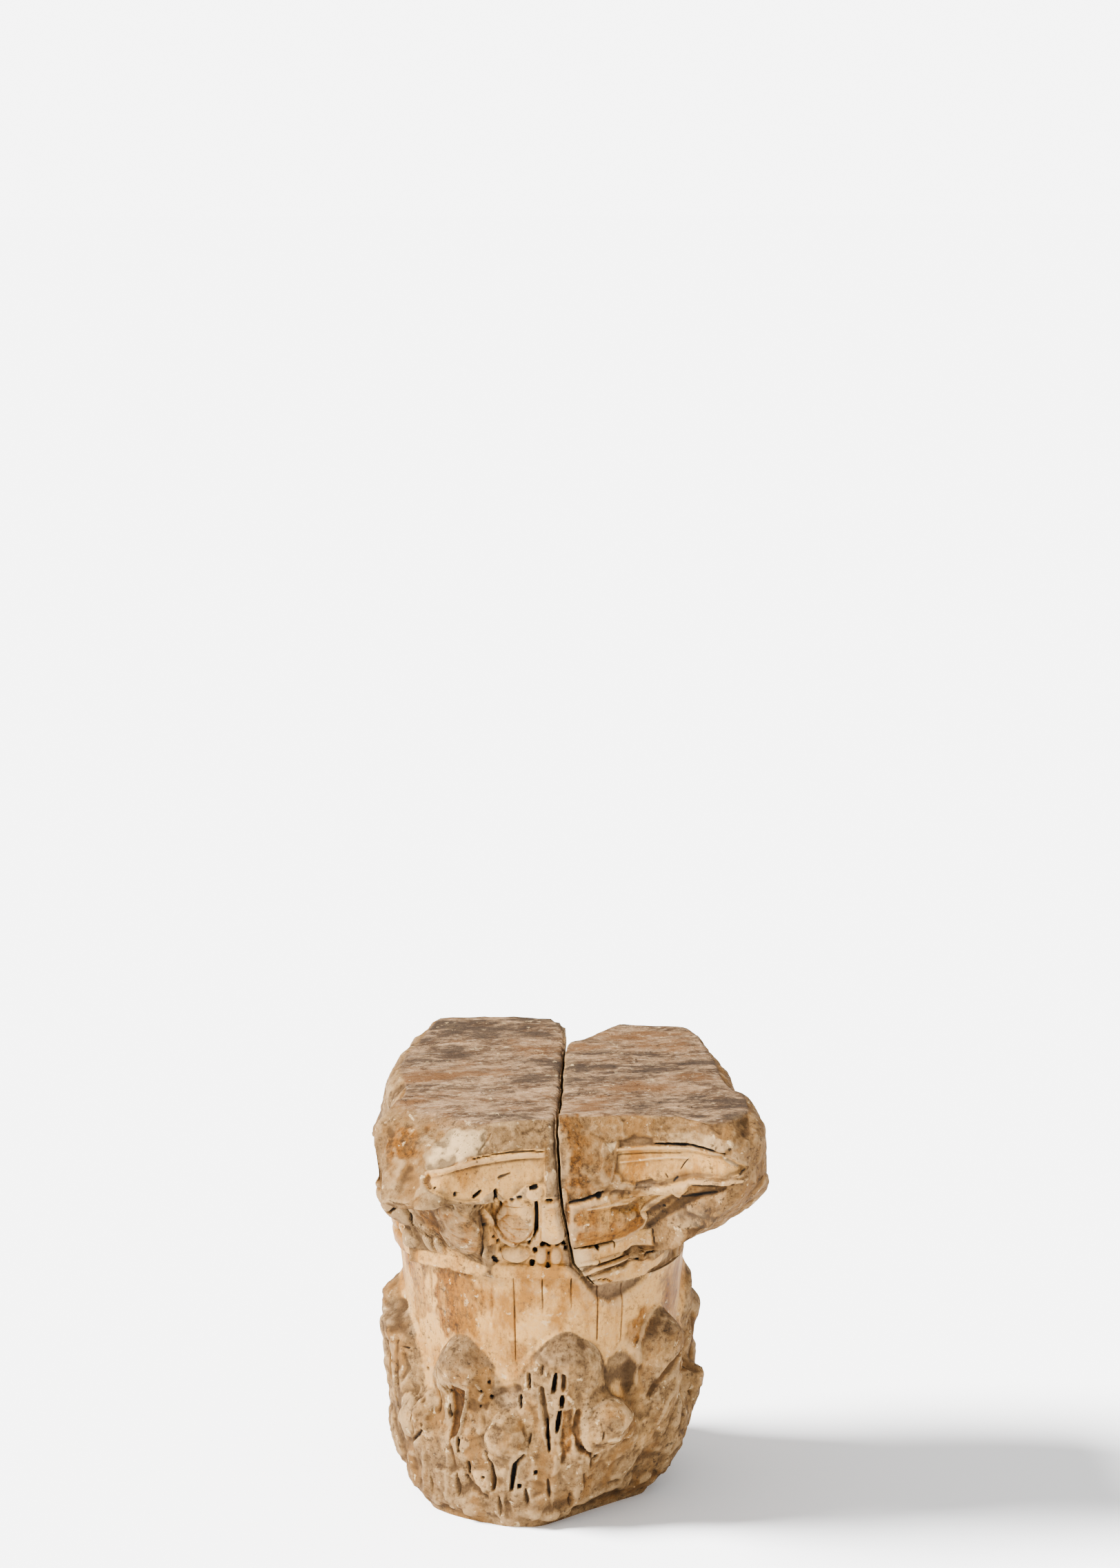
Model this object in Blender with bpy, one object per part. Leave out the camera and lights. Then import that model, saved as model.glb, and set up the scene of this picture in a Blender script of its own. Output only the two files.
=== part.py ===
"""Roman composite capital of marble, broken in two: main block and right fragment.

Metres, +Z up. The origin is on the column axis in the plane of the underside.
The middle of the front face looks along -Y. Angles round the axis are in degrees,
0 at the front and growing towards +X, so +45 is the front right corner.
"""

import math

import bmesh
import bpy
import numpy as np

# Heights of the carved bands, from the underside up
BELL_HEIGHT = 0.300
ASTRAGAL_HEIGHT = 0.016
BEAD_HEIGHT = 0.030
EGG_HEIGHT = 0.056
CHANNEL_HEIGHT = 0.056
ABACUS_HEIGHT = 0.047

# Radii of the bell and of the rings over it
FOOT_RADIUS = 0.146
NECK_RADIUS = 0.167
ASTRAGAL_RADIUS = 0.177
BEAD_RADIUS = 0.181
EGG_RADIUS = 0.206
CHANNEL_RADIUS = 0.197

# The abacus: from the axis to the middle of each side, and to a corner had it stayed whole
FRONT_REACH = 0.196
RIGHT_REACH = 0.222
BACK_REACH = 0.206
LEFT_REACH = 0.184
WHOLE_CORNER_REACH = 0.330

# The four corner volutes: their thickness, and the reach at which each one is broken off
VOLUTE_THICKNESS = 0.126
FRONT_RIGHT_REACH = 0.300
BACK_RIGHT_REACH = 0.232
BACK_LEFT_REACH = 0.194
FRONT_LEFT_REACH = 0.238

# Broken sides of the abacus: reach of each plane at the top
RIGHT_CORNER_BREAK_REACH = 0.252
RIGHT_BREAK_REACH = 0.240
BACK_BREAK_REACH = 0.190
LEFT_BREAK_REACH = 0.188
BACK_LEFT_BREAK_REACH = 0.178
FRONT_LEFT_BREAK_REACH = 0.222

# Chip off the block's back right corner: reach of its plane at the top
BACK_CHIP_REACH = 0.053

# Wear of the upper rim, and rise of the top bed per metre towards the back
RIM_WEAR = 0.016
BED_RISE = 0.080

# The two rings of acanthus leaves on the bell
LEAF_COUNT = 8
UPPER_LEAF_HEIGHT = 0.247
LOWER_LEAF_HEIGHT = 0.158
LEAF_HALF_WIDTH = 0.053
UPPER_LEAF_RELIEF = 0.036
LOWER_LEAF_RELIEF = 0.046
FOOT_COLLAR = 0.027

# Taller worn masses over the leaves at the two sides
LEFT_MASS_HEIGHT = 0.264
LEFT_MASS_HALF_WIDTH = 0.072
LEFT_MASS_RELIEF = 0.031
RIGHT_MASS_HEIGHT = 0.277
RIGHT_MASS_HALF_WIDTH = 0.044
RIGHT_MASS_RELIEF = 0.019

# Tongues on the bell, eggs and beads on the rings
TONGUE_PITCH = 11.25
TONGUE_GROOVE = 0.0022
EGG_PITCH = 22.5
EGG_OFFSET = 4.4
EGG_RELIEF = 0.016
BEAD_RELIEF = 0.006

# Slanting breaks round the foot: reach of each plane at the underside, and its growth upwards
FOOT_FRONT_REACH = 0.131
FOOT_FRONT_SLOPE = 0.45
FOOT_RIGHT_REACH = 0.131
FOOT_RIGHT_SLOPE = 0.60
FOOT_LEFT_REACH = 0.152
FOOT_LEFT_SLOPE = 0.50

# Upright break at the fragment's back
FRAGMENT_BACK_REACH = 0.036

# The fracture: its width beside the fragment, the bed under it and its turn in plan
CRACK_WIDTH = 0.0034
SEAT_CLEARANCE = 0.0006
CRACK_TURN = 12.2
CRACK_SIDE = 0.0225
SEAT_DEPTH = 0.014
FRAGMENT_BAND_TILT = 0.14

# Fineness of the faceted stone: columns round it and rings in each band
COLUMNS = 104
FOOT_RINGS = 11
LEAF_RINGS = 9
BAND_RINGS = 4

ASTRAGAL_LEVEL = BELL_HEIGHT
BEAD_LEVEL = ASTRAGAL_LEVEL + ASTRAGAL_HEIGHT
EGG_LEVEL = BEAD_LEVEL + BEAD_HEIGHT
CHANNEL_LEVEL = EGG_LEVEL + EGG_HEIGHT
ABACUS_LEVEL = CHANNEL_LEVEL + CHANNEL_HEIGHT
TOP_LEVEL = ABACUS_LEVEL + ABACUS_HEIGHT


def soft_step(value, low, high):
    """0 below low, 1 above high, and 3t^2 - 2t^3 between them."""
    t = np.clip((value - low) / (high - low), 0.0, 1.0)
    return t * t * (3.0 - 2.0 * t)


def soft_max(first, second, blend):
    """The larger of two values, with the corner between them filleted over blend."""
    share = np.clip(0.5 + 0.5 * (first - second) / blend, 0.0, 1.0)
    return second + (first - second) * share + blend * share * (1.0 - share)


def soft_min(first, second, blend):
    """The smaller of two values, with the corner between them rounded over blend."""
    return -soft_max(-first, -second, blend)


def turn_from(angle, centre):
    """Smallest turn in degrees from centre to angle, -180 to 180."""
    return (angle - centre + 180.0) % 360.0 - 180.0


def plane_radius(angle, normal, reach):
    """Radius at which an upright plane, reach away from the axis, is met at an angle."""
    facing = np.cos(np.radians(turn_from(angle, normal)))
    return reach / np.maximum(facing, 0.08)


def bell(height):
    """Bell radius: a slow flare from the foot to the neck."""
    share = np.clip(height / BELL_HEIGHT, 0.0, 1.0)
    return FOOT_RADIUS + (NECK_RADIUS - FOOT_RADIUS) * share ** 1.3


def leaf(angle, height, centre, tip, widest, relief, fall):
    """Relief of one leaf: an arched outline under its tip, swelling outwards to its bend.

    widest is half its width lower down, and fall the share of its relief lost below the bend.
    """
    below_tip = np.clip((tip - height) / LEAF_HALF_WIDTH, 0.0, None)
    half_width = widest * np.minimum(below_tip / 1.4, 1.0) ** 0.5 + 0.010
    across = np.abs(np.radians(turn_from(angle, centre))) * NECK_RADIUS
    plateau = 1.0 - soft_step(across, 0.40 * half_width, 1.20 * half_width)
    swell = soft_step(below_tip, 0.0, 0.75) * (1.0 - fall * soft_step(below_tip, 0.8, 1.6))
    arch = 1.0 - 0.25 * np.clip(across / half_width, 0.0, 1.0)
    return relief * plateau * swell * arch


def foliage(angle, height):
    """Bell with its tongues, its two rings of broken leaves and the rough mass at the foot."""
    pitch = 360.0 / LEAF_COUNT
    relief = FOOT_COLLAR * (1.0 - soft_step(height, 0.06, 0.16))
    for number in range(LEAF_COUNT):
        worn = 0.006 * math.sin(2.3 * number)
        at_side = abs(math.sin(math.radians(number * pitch)))
        upper = leaf(angle, height, number * pitch, UPPER_LEAF_HEIGHT + worn, LEAF_HALF_WIDTH,
                     UPPER_LEAF_RELIEF, 0.38 - 0.30 * at_side)
        lower = leaf(angle, height, (number + 0.5) * pitch, LOWER_LEAF_HEIGHT, LEAF_HALF_WIDTH,
                     LOWER_LEAF_RELIEF, 0.25)
        relief = soft_max(relief, np.maximum(upper, lower), 0.002)
    left = leaf(angle, height, -102.0, LEFT_MASS_HEIGHT, LEFT_MASS_HALF_WIDTH, LEFT_MASS_RELIEF, 0.1)
    right = leaf(angle, height, 86.0, RIGHT_MASS_HEIGHT, RIGHT_MASS_HALF_WIDTH, RIGHT_MASS_RELIEF, 0.0)
    relief = soft_max(relief, np.maximum(left, right), 0.002)
    to_groove = (angle + TONGUE_PITCH / 2) % TONGUE_PITCH - TONGUE_PITCH / 2
    tongues = TONGUE_GROOVE * np.exp(-(to_groove / 1.2) ** 2) * soft_step(height, 0.15, 0.20)
    return bell(height) + relief - tongues


def ring_profile(height):
    """Radius of the rings alone: astragal, bead row and the hollow behind the eggs."""
    levels = [BELL_HEIGHT - 0.004, ASTRAGAL_LEVEL + 0.3 * ASTRAGAL_HEIGHT, BEAD_LEVEL,
              BEAD_LEVEL + 0.5 * BEAD_HEIGHT, EGG_LEVEL,
              EGG_LEVEL + 0.3 * EGG_HEIGHT, CHANNEL_LEVEL - 0.1 * EGG_HEIGHT]
    radii = [NECK_RADIUS, ASTRAGAL_RADIUS, ASTRAGAL_RADIUS,
             BEAD_RADIUS - BEAD_RELIEF, BEAD_RADIUS,
             EGG_RADIUS - EGG_RELIEF, EGG_RADIUS - EGG_RELIEF / 2]
    return np.interp(height, levels, radii)


def eggs_and_beads(angle, height):
    """Relief of the egg row and of the bead row under it, each one a rounded mound."""
    egg_turn = (turn_from(angle, EGG_OFFSET) + EGG_PITCH / 2) % EGG_PITCH - EGG_PITCH / 2
    across = egg_turn / (0.40 * EGG_PITCH)
    along = (height - EGG_LEVEL - 0.48 * EGG_HEIGHT) / (0.56 * EGG_HEIGHT)
    egg = EGG_RELIEF * np.clip(1.0 - across ** 2 - along ** 2, 0.0, 1.0) ** 0.7
    across = egg_turn / (0.36 * EGG_PITCH)
    along = (height - BEAD_LEVEL - 0.5 * BEAD_HEIGHT) / (0.55 * BEAD_HEIGHT)
    bead = BEAD_RELIEF * np.clip(1.0 - across ** 2 - along ** 2, 0.0, 1.0) ** 0.7
    return egg + bead


def abacus(angle, height):
    """Concave-sided square of the volute channel and the abacus over it.

    From the middle of a side the radius grows with (1/cos a - 1) to the power 1.15.
    """
    side = np.round(np.asarray(angle) / 90.0).astype(int) % 4
    reach = np.array([FRONT_REACH, RIGHT_REACH, BACK_REACH, LEFT_REACH])[side]
    hollow = (FRONT_REACH - CHANNEL_RADIUS) * (1.0 - soft_step(height, ABACUS_LEVEL - 0.006, ABACUS_LEVEL))
    off_side = np.radians(turn_from(angle, 90.0 * side))
    to_corner = (1.0 / np.cos(off_side) - 1.0) / (math.sqrt(2.0) - 1.0)
    return reach - hollow + (WHOLE_CORNER_REACH - reach) * to_corner ** 1.15


def stump_reach(height, reach, hang):
    """Reach of a broken volute along its diagonal, growing upwards from the bead row.

    hang is how much of it is left under the channel: 1 is most, 0 is least.
    """
    top_of_stump = CHANNEL_LEVEL + 0.1 * CHANNEL_HEIGHT
    share = np.clip((height - BEAD_LEVEL) / (top_of_stump - BEAD_LEVEL), 0.0, 1.0)
    return ASTRAGAL_RADIUS + (reach - ASTRAGAL_RADIUS) * share ** (1.0 / (0.6 + hang))


def upper_stone(angle, height):
    """Rings, channel, abacus and the four broken volutes over the bell."""
    radius = ring_profile(height) + eggs_and_beads(angle, height)
    over_rings = soft_step(height, CHANNEL_LEVEL - 0.006, CHANNEL_LEVEL + 0.004)
    radius = radius + (abacus(angle, height) - radius) * over_rings
    volutes = [(47.0, FRONT_RIGHT_REACH, 1.7), (132.0, BACK_RIGHT_REACH, 0.3),
               (-132.0, BACK_LEFT_REACH, 0.2), (-47.0, FRONT_LEFT_REACH, 0.2)]
    for centre, reach, hang in volutes:
        turn = np.radians(turn_from(angle, centre))
        along = stump_reach(height, reach, hang) / np.maximum(np.cos(turn), 0.3)
        beside = 0.5 * VOLUTE_THICKNESS / np.maximum(np.abs(np.sin(turn)), 0.02)
        volute = np.where(np.cos(turn) > 0.3, soft_min(along, beside, 0.020), 0.0)
        radius = soft_max(radius, volute, 0.006)
    breaks = [(44.0, FRONT_RIGHT_REACH, 0.0), (80.0, RIGHT_CORNER_BREAK_REACH, 0.05),
              (109.0, RIGHT_BREAK_REACH, 0.2), (160.0, BACK_BREAK_REACH, 0.2),
              (-116.0, BACK_LEFT_BREAK_REACH, 0.4), (-100.0, LEFT_BREAK_REACH, 0.3),
              (-44.0, FRONT_LEFT_BREAK_REACH, 0.6)]
    for normal, reach, lean in breaks:
        reach_here = reach + lean * (TOP_LEVEL - height)
        radius = soft_min(radius, plane_radius(angle, normal, reach_here), 0.014)
    return radius


def band_lift(angle, level, band_tilt):
    """Rise of the carved bands where the fragment has rolled, fading out towards the top."""
    fading = 1.0 - soft_step(level, EGG_LEVEL, TOP_LEVEL)
    rolled = soft_step(level, BELL_HEIGHT - 0.05, BELL_HEIGHT) * fading
    return band_tilt * NECK_RADIUS * (np.sin(np.radians(angle)) - 0.1) * rolled


def stone_radius(angle, height):
    """Radius of the broken stone at an angle and a height."""
    over_neck = soft_step(height, BELL_HEIGHT - 0.003, BELL_HEIGHT + 0.002)
    radius = foliage(angle, height) * (1.0 - over_neck) + upper_stone(angle, height) * over_neck
    foot_breaks = [(30.0, FOOT_FRONT_REACH, FOOT_FRONT_SLOPE), (80.0, FOOT_RIGHT_REACH, FOOT_RIGHT_SLOPE),
                   (-92.0, FOOT_LEFT_REACH, FOOT_LEFT_SLOPE)]
    for normal, reach, slope in foot_breaks:
        radius = soft_min(radius, plane_radius(angle, normal, reach + slope * height), 0.012)
    less_at_back = 0.65 + 0.35 * np.cos(np.radians(angle))
    worn = RIM_WEAR * less_at_back * soft_step(height, TOP_LEVEL - 0.036, TOP_LEVEL) ** 2
    rounded_foot = 0.010 * (1.0 - soft_step(height, 0.0, 0.020))
    return radius - worn - rounded_foot


def ring_levels():
    """Heights of the rings up the side, closer together where the carving is finer."""
    bands = [(0.0, 1), (0.010, FOOT_RINGS), (LOWER_LEAF_HEIGHT, LEAF_RINGS),
             (UPPER_LEAF_HEIGHT, BAND_RINGS - 1), (BELL_HEIGHT - 0.003, 2), (BEAD_LEVEL, BAND_RINGS),
             (EGG_LEVEL, BAND_RINGS + 2), (CHANNEL_LEVEL, BAND_RINGS), (ABACUS_LEVEL, 2),
             (TOP_LEVEL - 0.020, 3), (TOP_LEVEL, 0)]
    levels = [TOP_LEVEL]
    for (low, rings), (high, _) in zip(bands[:-1], bands[1:]):
        levels.extend(np.linspace(low, high, rings, endpoint=False))
    return np.sort(levels)


def stone_rings(band_tilt, normal, reach, lean):
    """Rings of points up the side and in over the top bed, each of COLUMNS points.

    The stone is clipped by a break plane with its normal, its reach at the top and its lean.
    """
    angle = np.arange(COLUMNS) * 360.0 / COLUMNS
    level = ring_levels()[:, None]
    leaning = plane_radius(angle, normal, reach + lean * (TOP_LEVEL - level))
    radius = soft_min(stone_radius(angle, level), leaning, 0.010)
    height = level + band_lift(angle, level, band_tilt)
    over_bed = np.array([0.93, 0.72, 0.45, 0.2])[:, None]
    radius = np.concatenate([radius, over_bed * radius[-1]])
    height = np.concatenate([height, np.repeat(height[-1:], len(over_bed), axis=0)])
    turn = np.radians(angle)
    rings = np.stack([radius * np.sin(turn), -radius * np.cos(turn), height], axis=-1)
    rings[..., 2] += BED_RISE * rings[..., 1] * soft_step(height, CHANNEL_LEVEL, TOP_LEVEL)
    return rings


def marble(name, colour):
    """Matt weathered marble of one colour."""
    material = bpy.data.materials.new(name)
    material.use_nodes = True
    shader = material.node_tree.nodes["Principled BSDF"]
    shader.inputs["Base Color"].default_value = (*colour, 1.0)
    shader.inputs["Roughness"].default_value = 0.78
    shader.inputs["Metallic"].default_value = 0.0
    return material


def whole_capital(name, rings, material, collection):
    """The stone before its fracture: a UV sphere with its rings drawn out to these rings."""
    rows = len(rings) + 1
    body = bmesh.new()
    bmesh.ops.create_uvsphere(body, u_segments=COLUMNS, v_segments=rows, radius=1.0)
    for vertex in body.verts:
        polar = math.acos(max(-1.0, min(1.0, -vertex.co.z)))
        row = round(polar * rows / math.pi)
        if row == 0:
            vertex.co = (0.0, 0.0, 0.0)
        elif row == rows:
            vertex.co = (0.0, 0.0, TOP_LEVEL)
        else:
            turn = math.atan2(vertex.co.x, -vertex.co.y)
            vertex.co = rings[row - 1, round(turn * COLUMNS / math.tau) % COLUMNS]
    bmesh.ops.recalc_face_normals(body, faces=body.faces)
    mesh = bpy.data.meshes.new(name)
    body.to_mesh(mesh)
    body.free()
    mesh.shade_smooth()
    mesh.set_sharp_from_angle(angle=math.radians(40.0))
    mesh.materials.append(material)
    capital = bpy.data.objects.new(name, mesh)
    collection.objects.link(capital)
    return capital


def fracture_cutter(name, shift, collection):
    """Prism over the fragment's place: the crack wall, the dip at its foot and the seat.

    Its outline is in the plane across the crack. shift moves the wall and the seat away from
    the main block, which leaves the crack's width and the seat's clearance.
    """
    seat = BELL_HEIGHT - SEAT_DEPTH
    beyond = 3.0 * EGG_RADIUS
    outline = [(CRACK_SIDE, 2.0 * TOP_LEVEL), (CRACK_SIDE, ABACUS_LEVEL),
               (CRACK_SIDE + 0.006, CHANNEL_LEVEL - 0.2 * EGG_HEIGHT),
               (CRACK_SIDE + 0.017, BEAD_LEVEL), (CRACK_SIDE + 0.040, seat),
               (beyond, seat + 0.010), (beyond, 2.0 * TOP_LEVEL)]
    curve = bpy.data.curves.new(name, "CURVE")
    curve.dimensions = "2D"
    curve.fill_mode = "BOTH"
    curve.extrude = beyond
    spline = curve.splines.new("POLY")
    spline.points.add(len(outline) - 1)
    for point, (side, up) in zip(spline.points, outline):
        point.co = (side + shift[0], up + shift[1], 0.0, 1.0)
    spline.use_cyclic_u = True
    guide = bpy.data.objects.new(name + "_outline", curve)
    collection.objects.link(guide)
    guide.rotation_euler = (math.radians(90.0), 0.0, math.radians(-CRACK_TURN))
    bpy.context.view_layer.update()
    mesh = bpy.data.meshes.new_from_object(guide.evaluated_get(bpy.context.evaluated_depsgraph_get()))
    welded = bmesh.new()
    welded.from_mesh(mesh)
    bmesh.ops.remove_doubles(welded, verts=welded.verts, dist=1e-6)
    bmesh.ops.recalc_face_normals(welded, faces=welded.faces)
    welded.to_mesh(mesh)
    welded.free()
    cutter = bpy.data.objects.new(name, mesh)
    collection.objects.link(cutter)
    cutter.matrix_world = guide.matrix_world.copy()
    bpy.data.objects.remove(guide)
    cutter.hide_render = True
    cutter.display_type = "WIRE"
    return cutter


def break_along(stone, cutter, operation):
    """Keeps the side of the fracture that operation says, DIFFERENCE or INTERSECT."""
    fracture = stone.modifiers.new("fracture", "BOOLEAN")
    fracture.operation = operation
    fracture.solver = "EXACT"
    fracture.object = cutter


def clear_scene():
    for item in list(bpy.data.objects):
        bpy.data.objects.remove(item)


def make_collection(name):
    collection = bpy.data.collections.new(name)
    bpy.context.scene.collection.children.link(collection)
    return collection


def main():
    clear_scene()
    capital = make_collection("composite_capital")
    cutters = make_collection("cutters")
    block_marble = marble("weathered_marble", (0.60, 0.47, 0.32))
    fragment_marble = marble("weathered_marble_fragment", (0.60, 0.46, 0.31))
    block_rings = stone_rings(0.0, 93.0, BACK_CHIP_REACH, 1.5)
    fragment_rings = stone_rings(FRAGMENT_BAND_TILT, -141.5, FRAGMENT_BACK_REACH, 0.6)
    main_block = whole_capital("main_block", block_rings, block_marble, capital)
    fragment = whole_capital("right_fragment", fragment_rings, fragment_marble, capital)
    seat_cutter = fracture_cutter("seat_cutter", (0.0, 0.0), cutters)
    fragment_cutter = fracture_cutter("fragment_cutter", (CRACK_WIDTH, SEAT_CLEARANCE), cutters)
    break_along(main_block, seat_cutter, "DIFFERENCE")
    break_along(fragment, fragment_cutter, "INTERSECT")


main()
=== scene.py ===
"""Roman composite capital of weathered marble, in two pieces with a crack between them.

Each piece is one closed numpy surface: for every angle round the column axis and every level
up it, a radius. Angles are in degrees, 0 at the middle of the front (-Y), growing towards +X.
The carving and the wear are displacements of that surface along its normals, and a rough
fracture cutter then parts the block from the fragment.
"""

import math
from itertools import product
from types import SimpleNamespace

import bmesh
import bpy
import numpy as np
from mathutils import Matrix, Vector

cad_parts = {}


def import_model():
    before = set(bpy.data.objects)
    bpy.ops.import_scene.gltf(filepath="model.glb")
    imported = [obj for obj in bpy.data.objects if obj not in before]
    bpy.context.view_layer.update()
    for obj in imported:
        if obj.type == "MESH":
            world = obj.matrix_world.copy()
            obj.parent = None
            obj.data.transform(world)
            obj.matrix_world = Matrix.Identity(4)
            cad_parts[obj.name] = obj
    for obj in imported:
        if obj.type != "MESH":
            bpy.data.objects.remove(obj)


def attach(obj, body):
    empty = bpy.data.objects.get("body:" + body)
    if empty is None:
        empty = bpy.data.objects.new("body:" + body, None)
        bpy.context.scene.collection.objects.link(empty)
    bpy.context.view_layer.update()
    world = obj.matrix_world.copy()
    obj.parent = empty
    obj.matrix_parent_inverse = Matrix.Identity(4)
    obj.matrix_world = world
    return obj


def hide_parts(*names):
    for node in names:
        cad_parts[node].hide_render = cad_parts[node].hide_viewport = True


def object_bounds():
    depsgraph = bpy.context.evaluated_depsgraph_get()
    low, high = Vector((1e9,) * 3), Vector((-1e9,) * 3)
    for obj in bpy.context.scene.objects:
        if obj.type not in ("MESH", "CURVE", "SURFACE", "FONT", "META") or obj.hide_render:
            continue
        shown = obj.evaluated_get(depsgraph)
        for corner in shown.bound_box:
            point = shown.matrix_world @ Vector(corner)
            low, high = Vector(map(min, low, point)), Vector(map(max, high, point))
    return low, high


# Levels of the carved bands, in metres above the underside
BELL_TOP = 0.300
BEAD_LEVEL = 0.316
EGG_LEVEL = 0.346
CHANNEL_LEVEL = 0.402
ABACUS_LEVEL = 0.458
TOP_LEVEL = 0.505

# Radii and reaches
FOOT_RADIUS = 0.146
NECK_RADIUS = 0.167
ASTRAGAL_RADIUS = 0.177
SIDE_REACHES = (0.196, 0.222, 0.206, 0.184)
WHOLE_CORNER_REACH = 0.330
VOLUTE_THICKNESS = 0.126
RIM_WEAR = 0.016
BED_RISE = 0.080

# Height over which a leaf curls under its tip
LEAF_CURL = 0.053

# Pitches of the ornament round the stone, in degrees
TONGUE_PITCH = 11.25
EGG_PITCH = 22.5
EGG_OFFSET = 4.4

# The fracture, as in the CAD
CRACK_WIDTH = 0.0034
SEAT_CLEARANCE = 0.0006
CRACK_TURN = 12.2
CRACK_SIDE = 0.0225
SEAT_LEVEL = 0.286
FRAGMENT_BAND_TILT = 0.14
FAR_OUT = 0.618

# Corners of the crack wall in the plane across the crack: distance from the axis, and level
CRACK_PROFILE = [(CRACK_SIDE, ABACUS_LEVEL), (CRACK_SIDE + 0.006, 0.391),
                 (CRACK_SIDE + 0.017, BEAD_LEVEL), (CRACK_SIDE + 0.040, SEAT_LEVEL)]

# The crack wall: height of its roughness, size of its largest swellings, and the mesh's step
CRACK_ROUGHNESS = 0.0022
CRACK_SWELLING = 0.045
CRACK_STEP = 0.0035


def soft_step(value, low, high):
    """0 below low, 1 above high, and 3t^2 - 2t^3 between them."""
    t = np.clip((value - low) / (high - low), 0.0, 1.0)
    return t * t * (3.0 - 2.0 * t)


def soft_max(first, second, blend):
    """The larger of two values, with the corner between them filleted over blend."""
    share = np.clip(0.5 + 0.5 * (first - second) / blend, 0.0, 1.0)
    return second + (first - second) * share + blend * share * (1.0 - share)


def soft_min(first, second, blend):
    """The smaller of two values, with the corner between them rounded over blend."""
    return -soft_max(-first, -second, blend)


def turn_from(angle, centre):
    """Smallest turn in degrees from centre to angle, -180 to 180."""
    return (angle - centre + 180.0) % 360.0 - 180.0


def cell_value(cell, seed):
    """A fixed pseudo-random value 0 to 1 for each whole-number cell, by integer mixing."""
    x = cell[..., 0] * 73856093 ^ cell[..., 1] * 19349663 ^ cell[..., 2] * 83492791 ^ seed * 2654435
    x = (x ^ (x >> 15)) * 2246822519 & 0xFFFFFFFF
    x = (x ^ (x >> 13)) * 3266489917 & 0xFFFFFFFF
    return ((x ^ (x >> 16)) & 0xFFFFFF) / float(0xFFFFFF)


def lone_value(number, seed):
    """The pseudo-random value 0 to 1 of one whole number."""
    return float(cell_value(np.array([[number, 0, 0]]), seed)[0])


def lattice_noise(points, size, seed):
    """Smooth noise -1 to 1: a value for each corner of a cubic lattice, eased between corners."""
    scaled = points / size
    base = np.floor(scaled).astype(np.int64)
    t = scaled - base
    t = t * t * t * (t * (t * 6.0 - 15.0) + 10.0)
    total = np.zeros(points.shape[:-1])
    for corner in product((0, 1), repeat=3):
        weight = np.prod(np.where(np.array(corner) == 1, t, 1.0 - t), axis=-1)
        total += weight * cell_value(base + np.array(corner), seed)
    return 2.0 * total - 1.0


def layered_noise(points, size, octaves, seed):
    """Sum of lattice noises, each of half the size and 0.55 of the height of the one before."""
    total = 0.0
    height = 1.0
    for octave in range(octaves):
        total = total + height * lattice_noise(points + 0.37 * octave, size, seed + octave)
        height *= 0.55
        size = size * 0.5
    return total


def plane_radius(angle, normal, reach):
    """Radius at which an upright plane, reach away from the axis, is met at an angle."""
    facing = np.cos(np.radians(turn_from(angle, normal)))
    return reach / np.maximum(facing, 0.08)


def bell(level):
    """Bell radius: a slow flare from the foot to the neck."""
    share = np.clip(level / BELL_TOP, 0.0, 1.0)
    return FOOT_RADIUS + (NECK_RADIUS - FOOT_RADIUS) * share ** 1.3


def leaf(angle, level, centre, tip, half_width, relief, fall):
    """Relief of one leaf: an arched outline under its tip, swelling outwards to its bend.

    fall is the share of its relief that it loses again below the bend.
    """
    below_tip = np.clip((tip - level) / LEAF_CURL, 0.0, None)
    edge = half_width * np.minimum(below_tip / 1.35, 1.0) + 0.008
    across = np.abs(np.radians(turn_from(angle, centre))) * NECK_RADIUS
    plateau = 1.0 - soft_step(across, 0.25 * edge, 1.25 * edge)
    swell = soft_step(below_tip, -0.02, 0.70) * (1.0 - fall * soft_step(below_tip, 0.8, 1.6))
    arch = 1.0 - 0.25 * np.clip(across / edge, 0.0, 1.0)
    return relief * plateau * swell * arch


# Each leaf: its angle, tip, half width, relief, and the share of the relief lost under its bend
UPPER_LEAVES = [(-0.6, 0.243, 0.068, 0.034, 0.35), (-43.5, 0.231, 0.060, 0.034, 0.35),
                (44.0, 0.251, 0.056, 0.036, 0.12), (90.0, 0.247, 0.053, 0.032, 0.05),
                (135.0, 0.244, 0.053, 0.034, 0.20), (180.0, 0.249, 0.053, 0.034, 0.20),
                (-135.0, 0.245, 0.053, 0.034, 0.20), (-88.0, 0.240, 0.060, 0.035, 0.06),
                (-102.0, 0.264, 0.072, 0.031, 0.10), (86.0, 0.277, 0.044, 0.019, 0.0)]
LOWER_LEAVES = [(-24.5, 0.156, 0.046, 0.042, 0.25), (17.0, 0.162, 0.064, 0.046, 0.25),
                (-62.0, 0.156, 0.026, 0.036, 0.20), (76.0, 0.170, 0.055, 0.041, 0.15),
                (112.5, 0.158, 0.053, 0.042, 0.25), (157.5, 0.158, 0.053, 0.042, 0.25),
                (-157.5, 0.158, 0.053, 0.042, 0.25), (-112.5, 0.155, 0.053, 0.040, 0.15)]


def foliage(angle, level):
    """Bell with its two rings of broken leaves and the rough mass at the foot."""
    relief = 0.028 * (1.0 - soft_step(level, 0.09, 0.17))
    for centre, tip, half_width, height, fall in UPPER_LEAVES + LOWER_LEAVES:
        relief = soft_max(relief, leaf(angle, level, centre, tip, half_width, height, fall), 0.002)
    return bell(level) + relief


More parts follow.
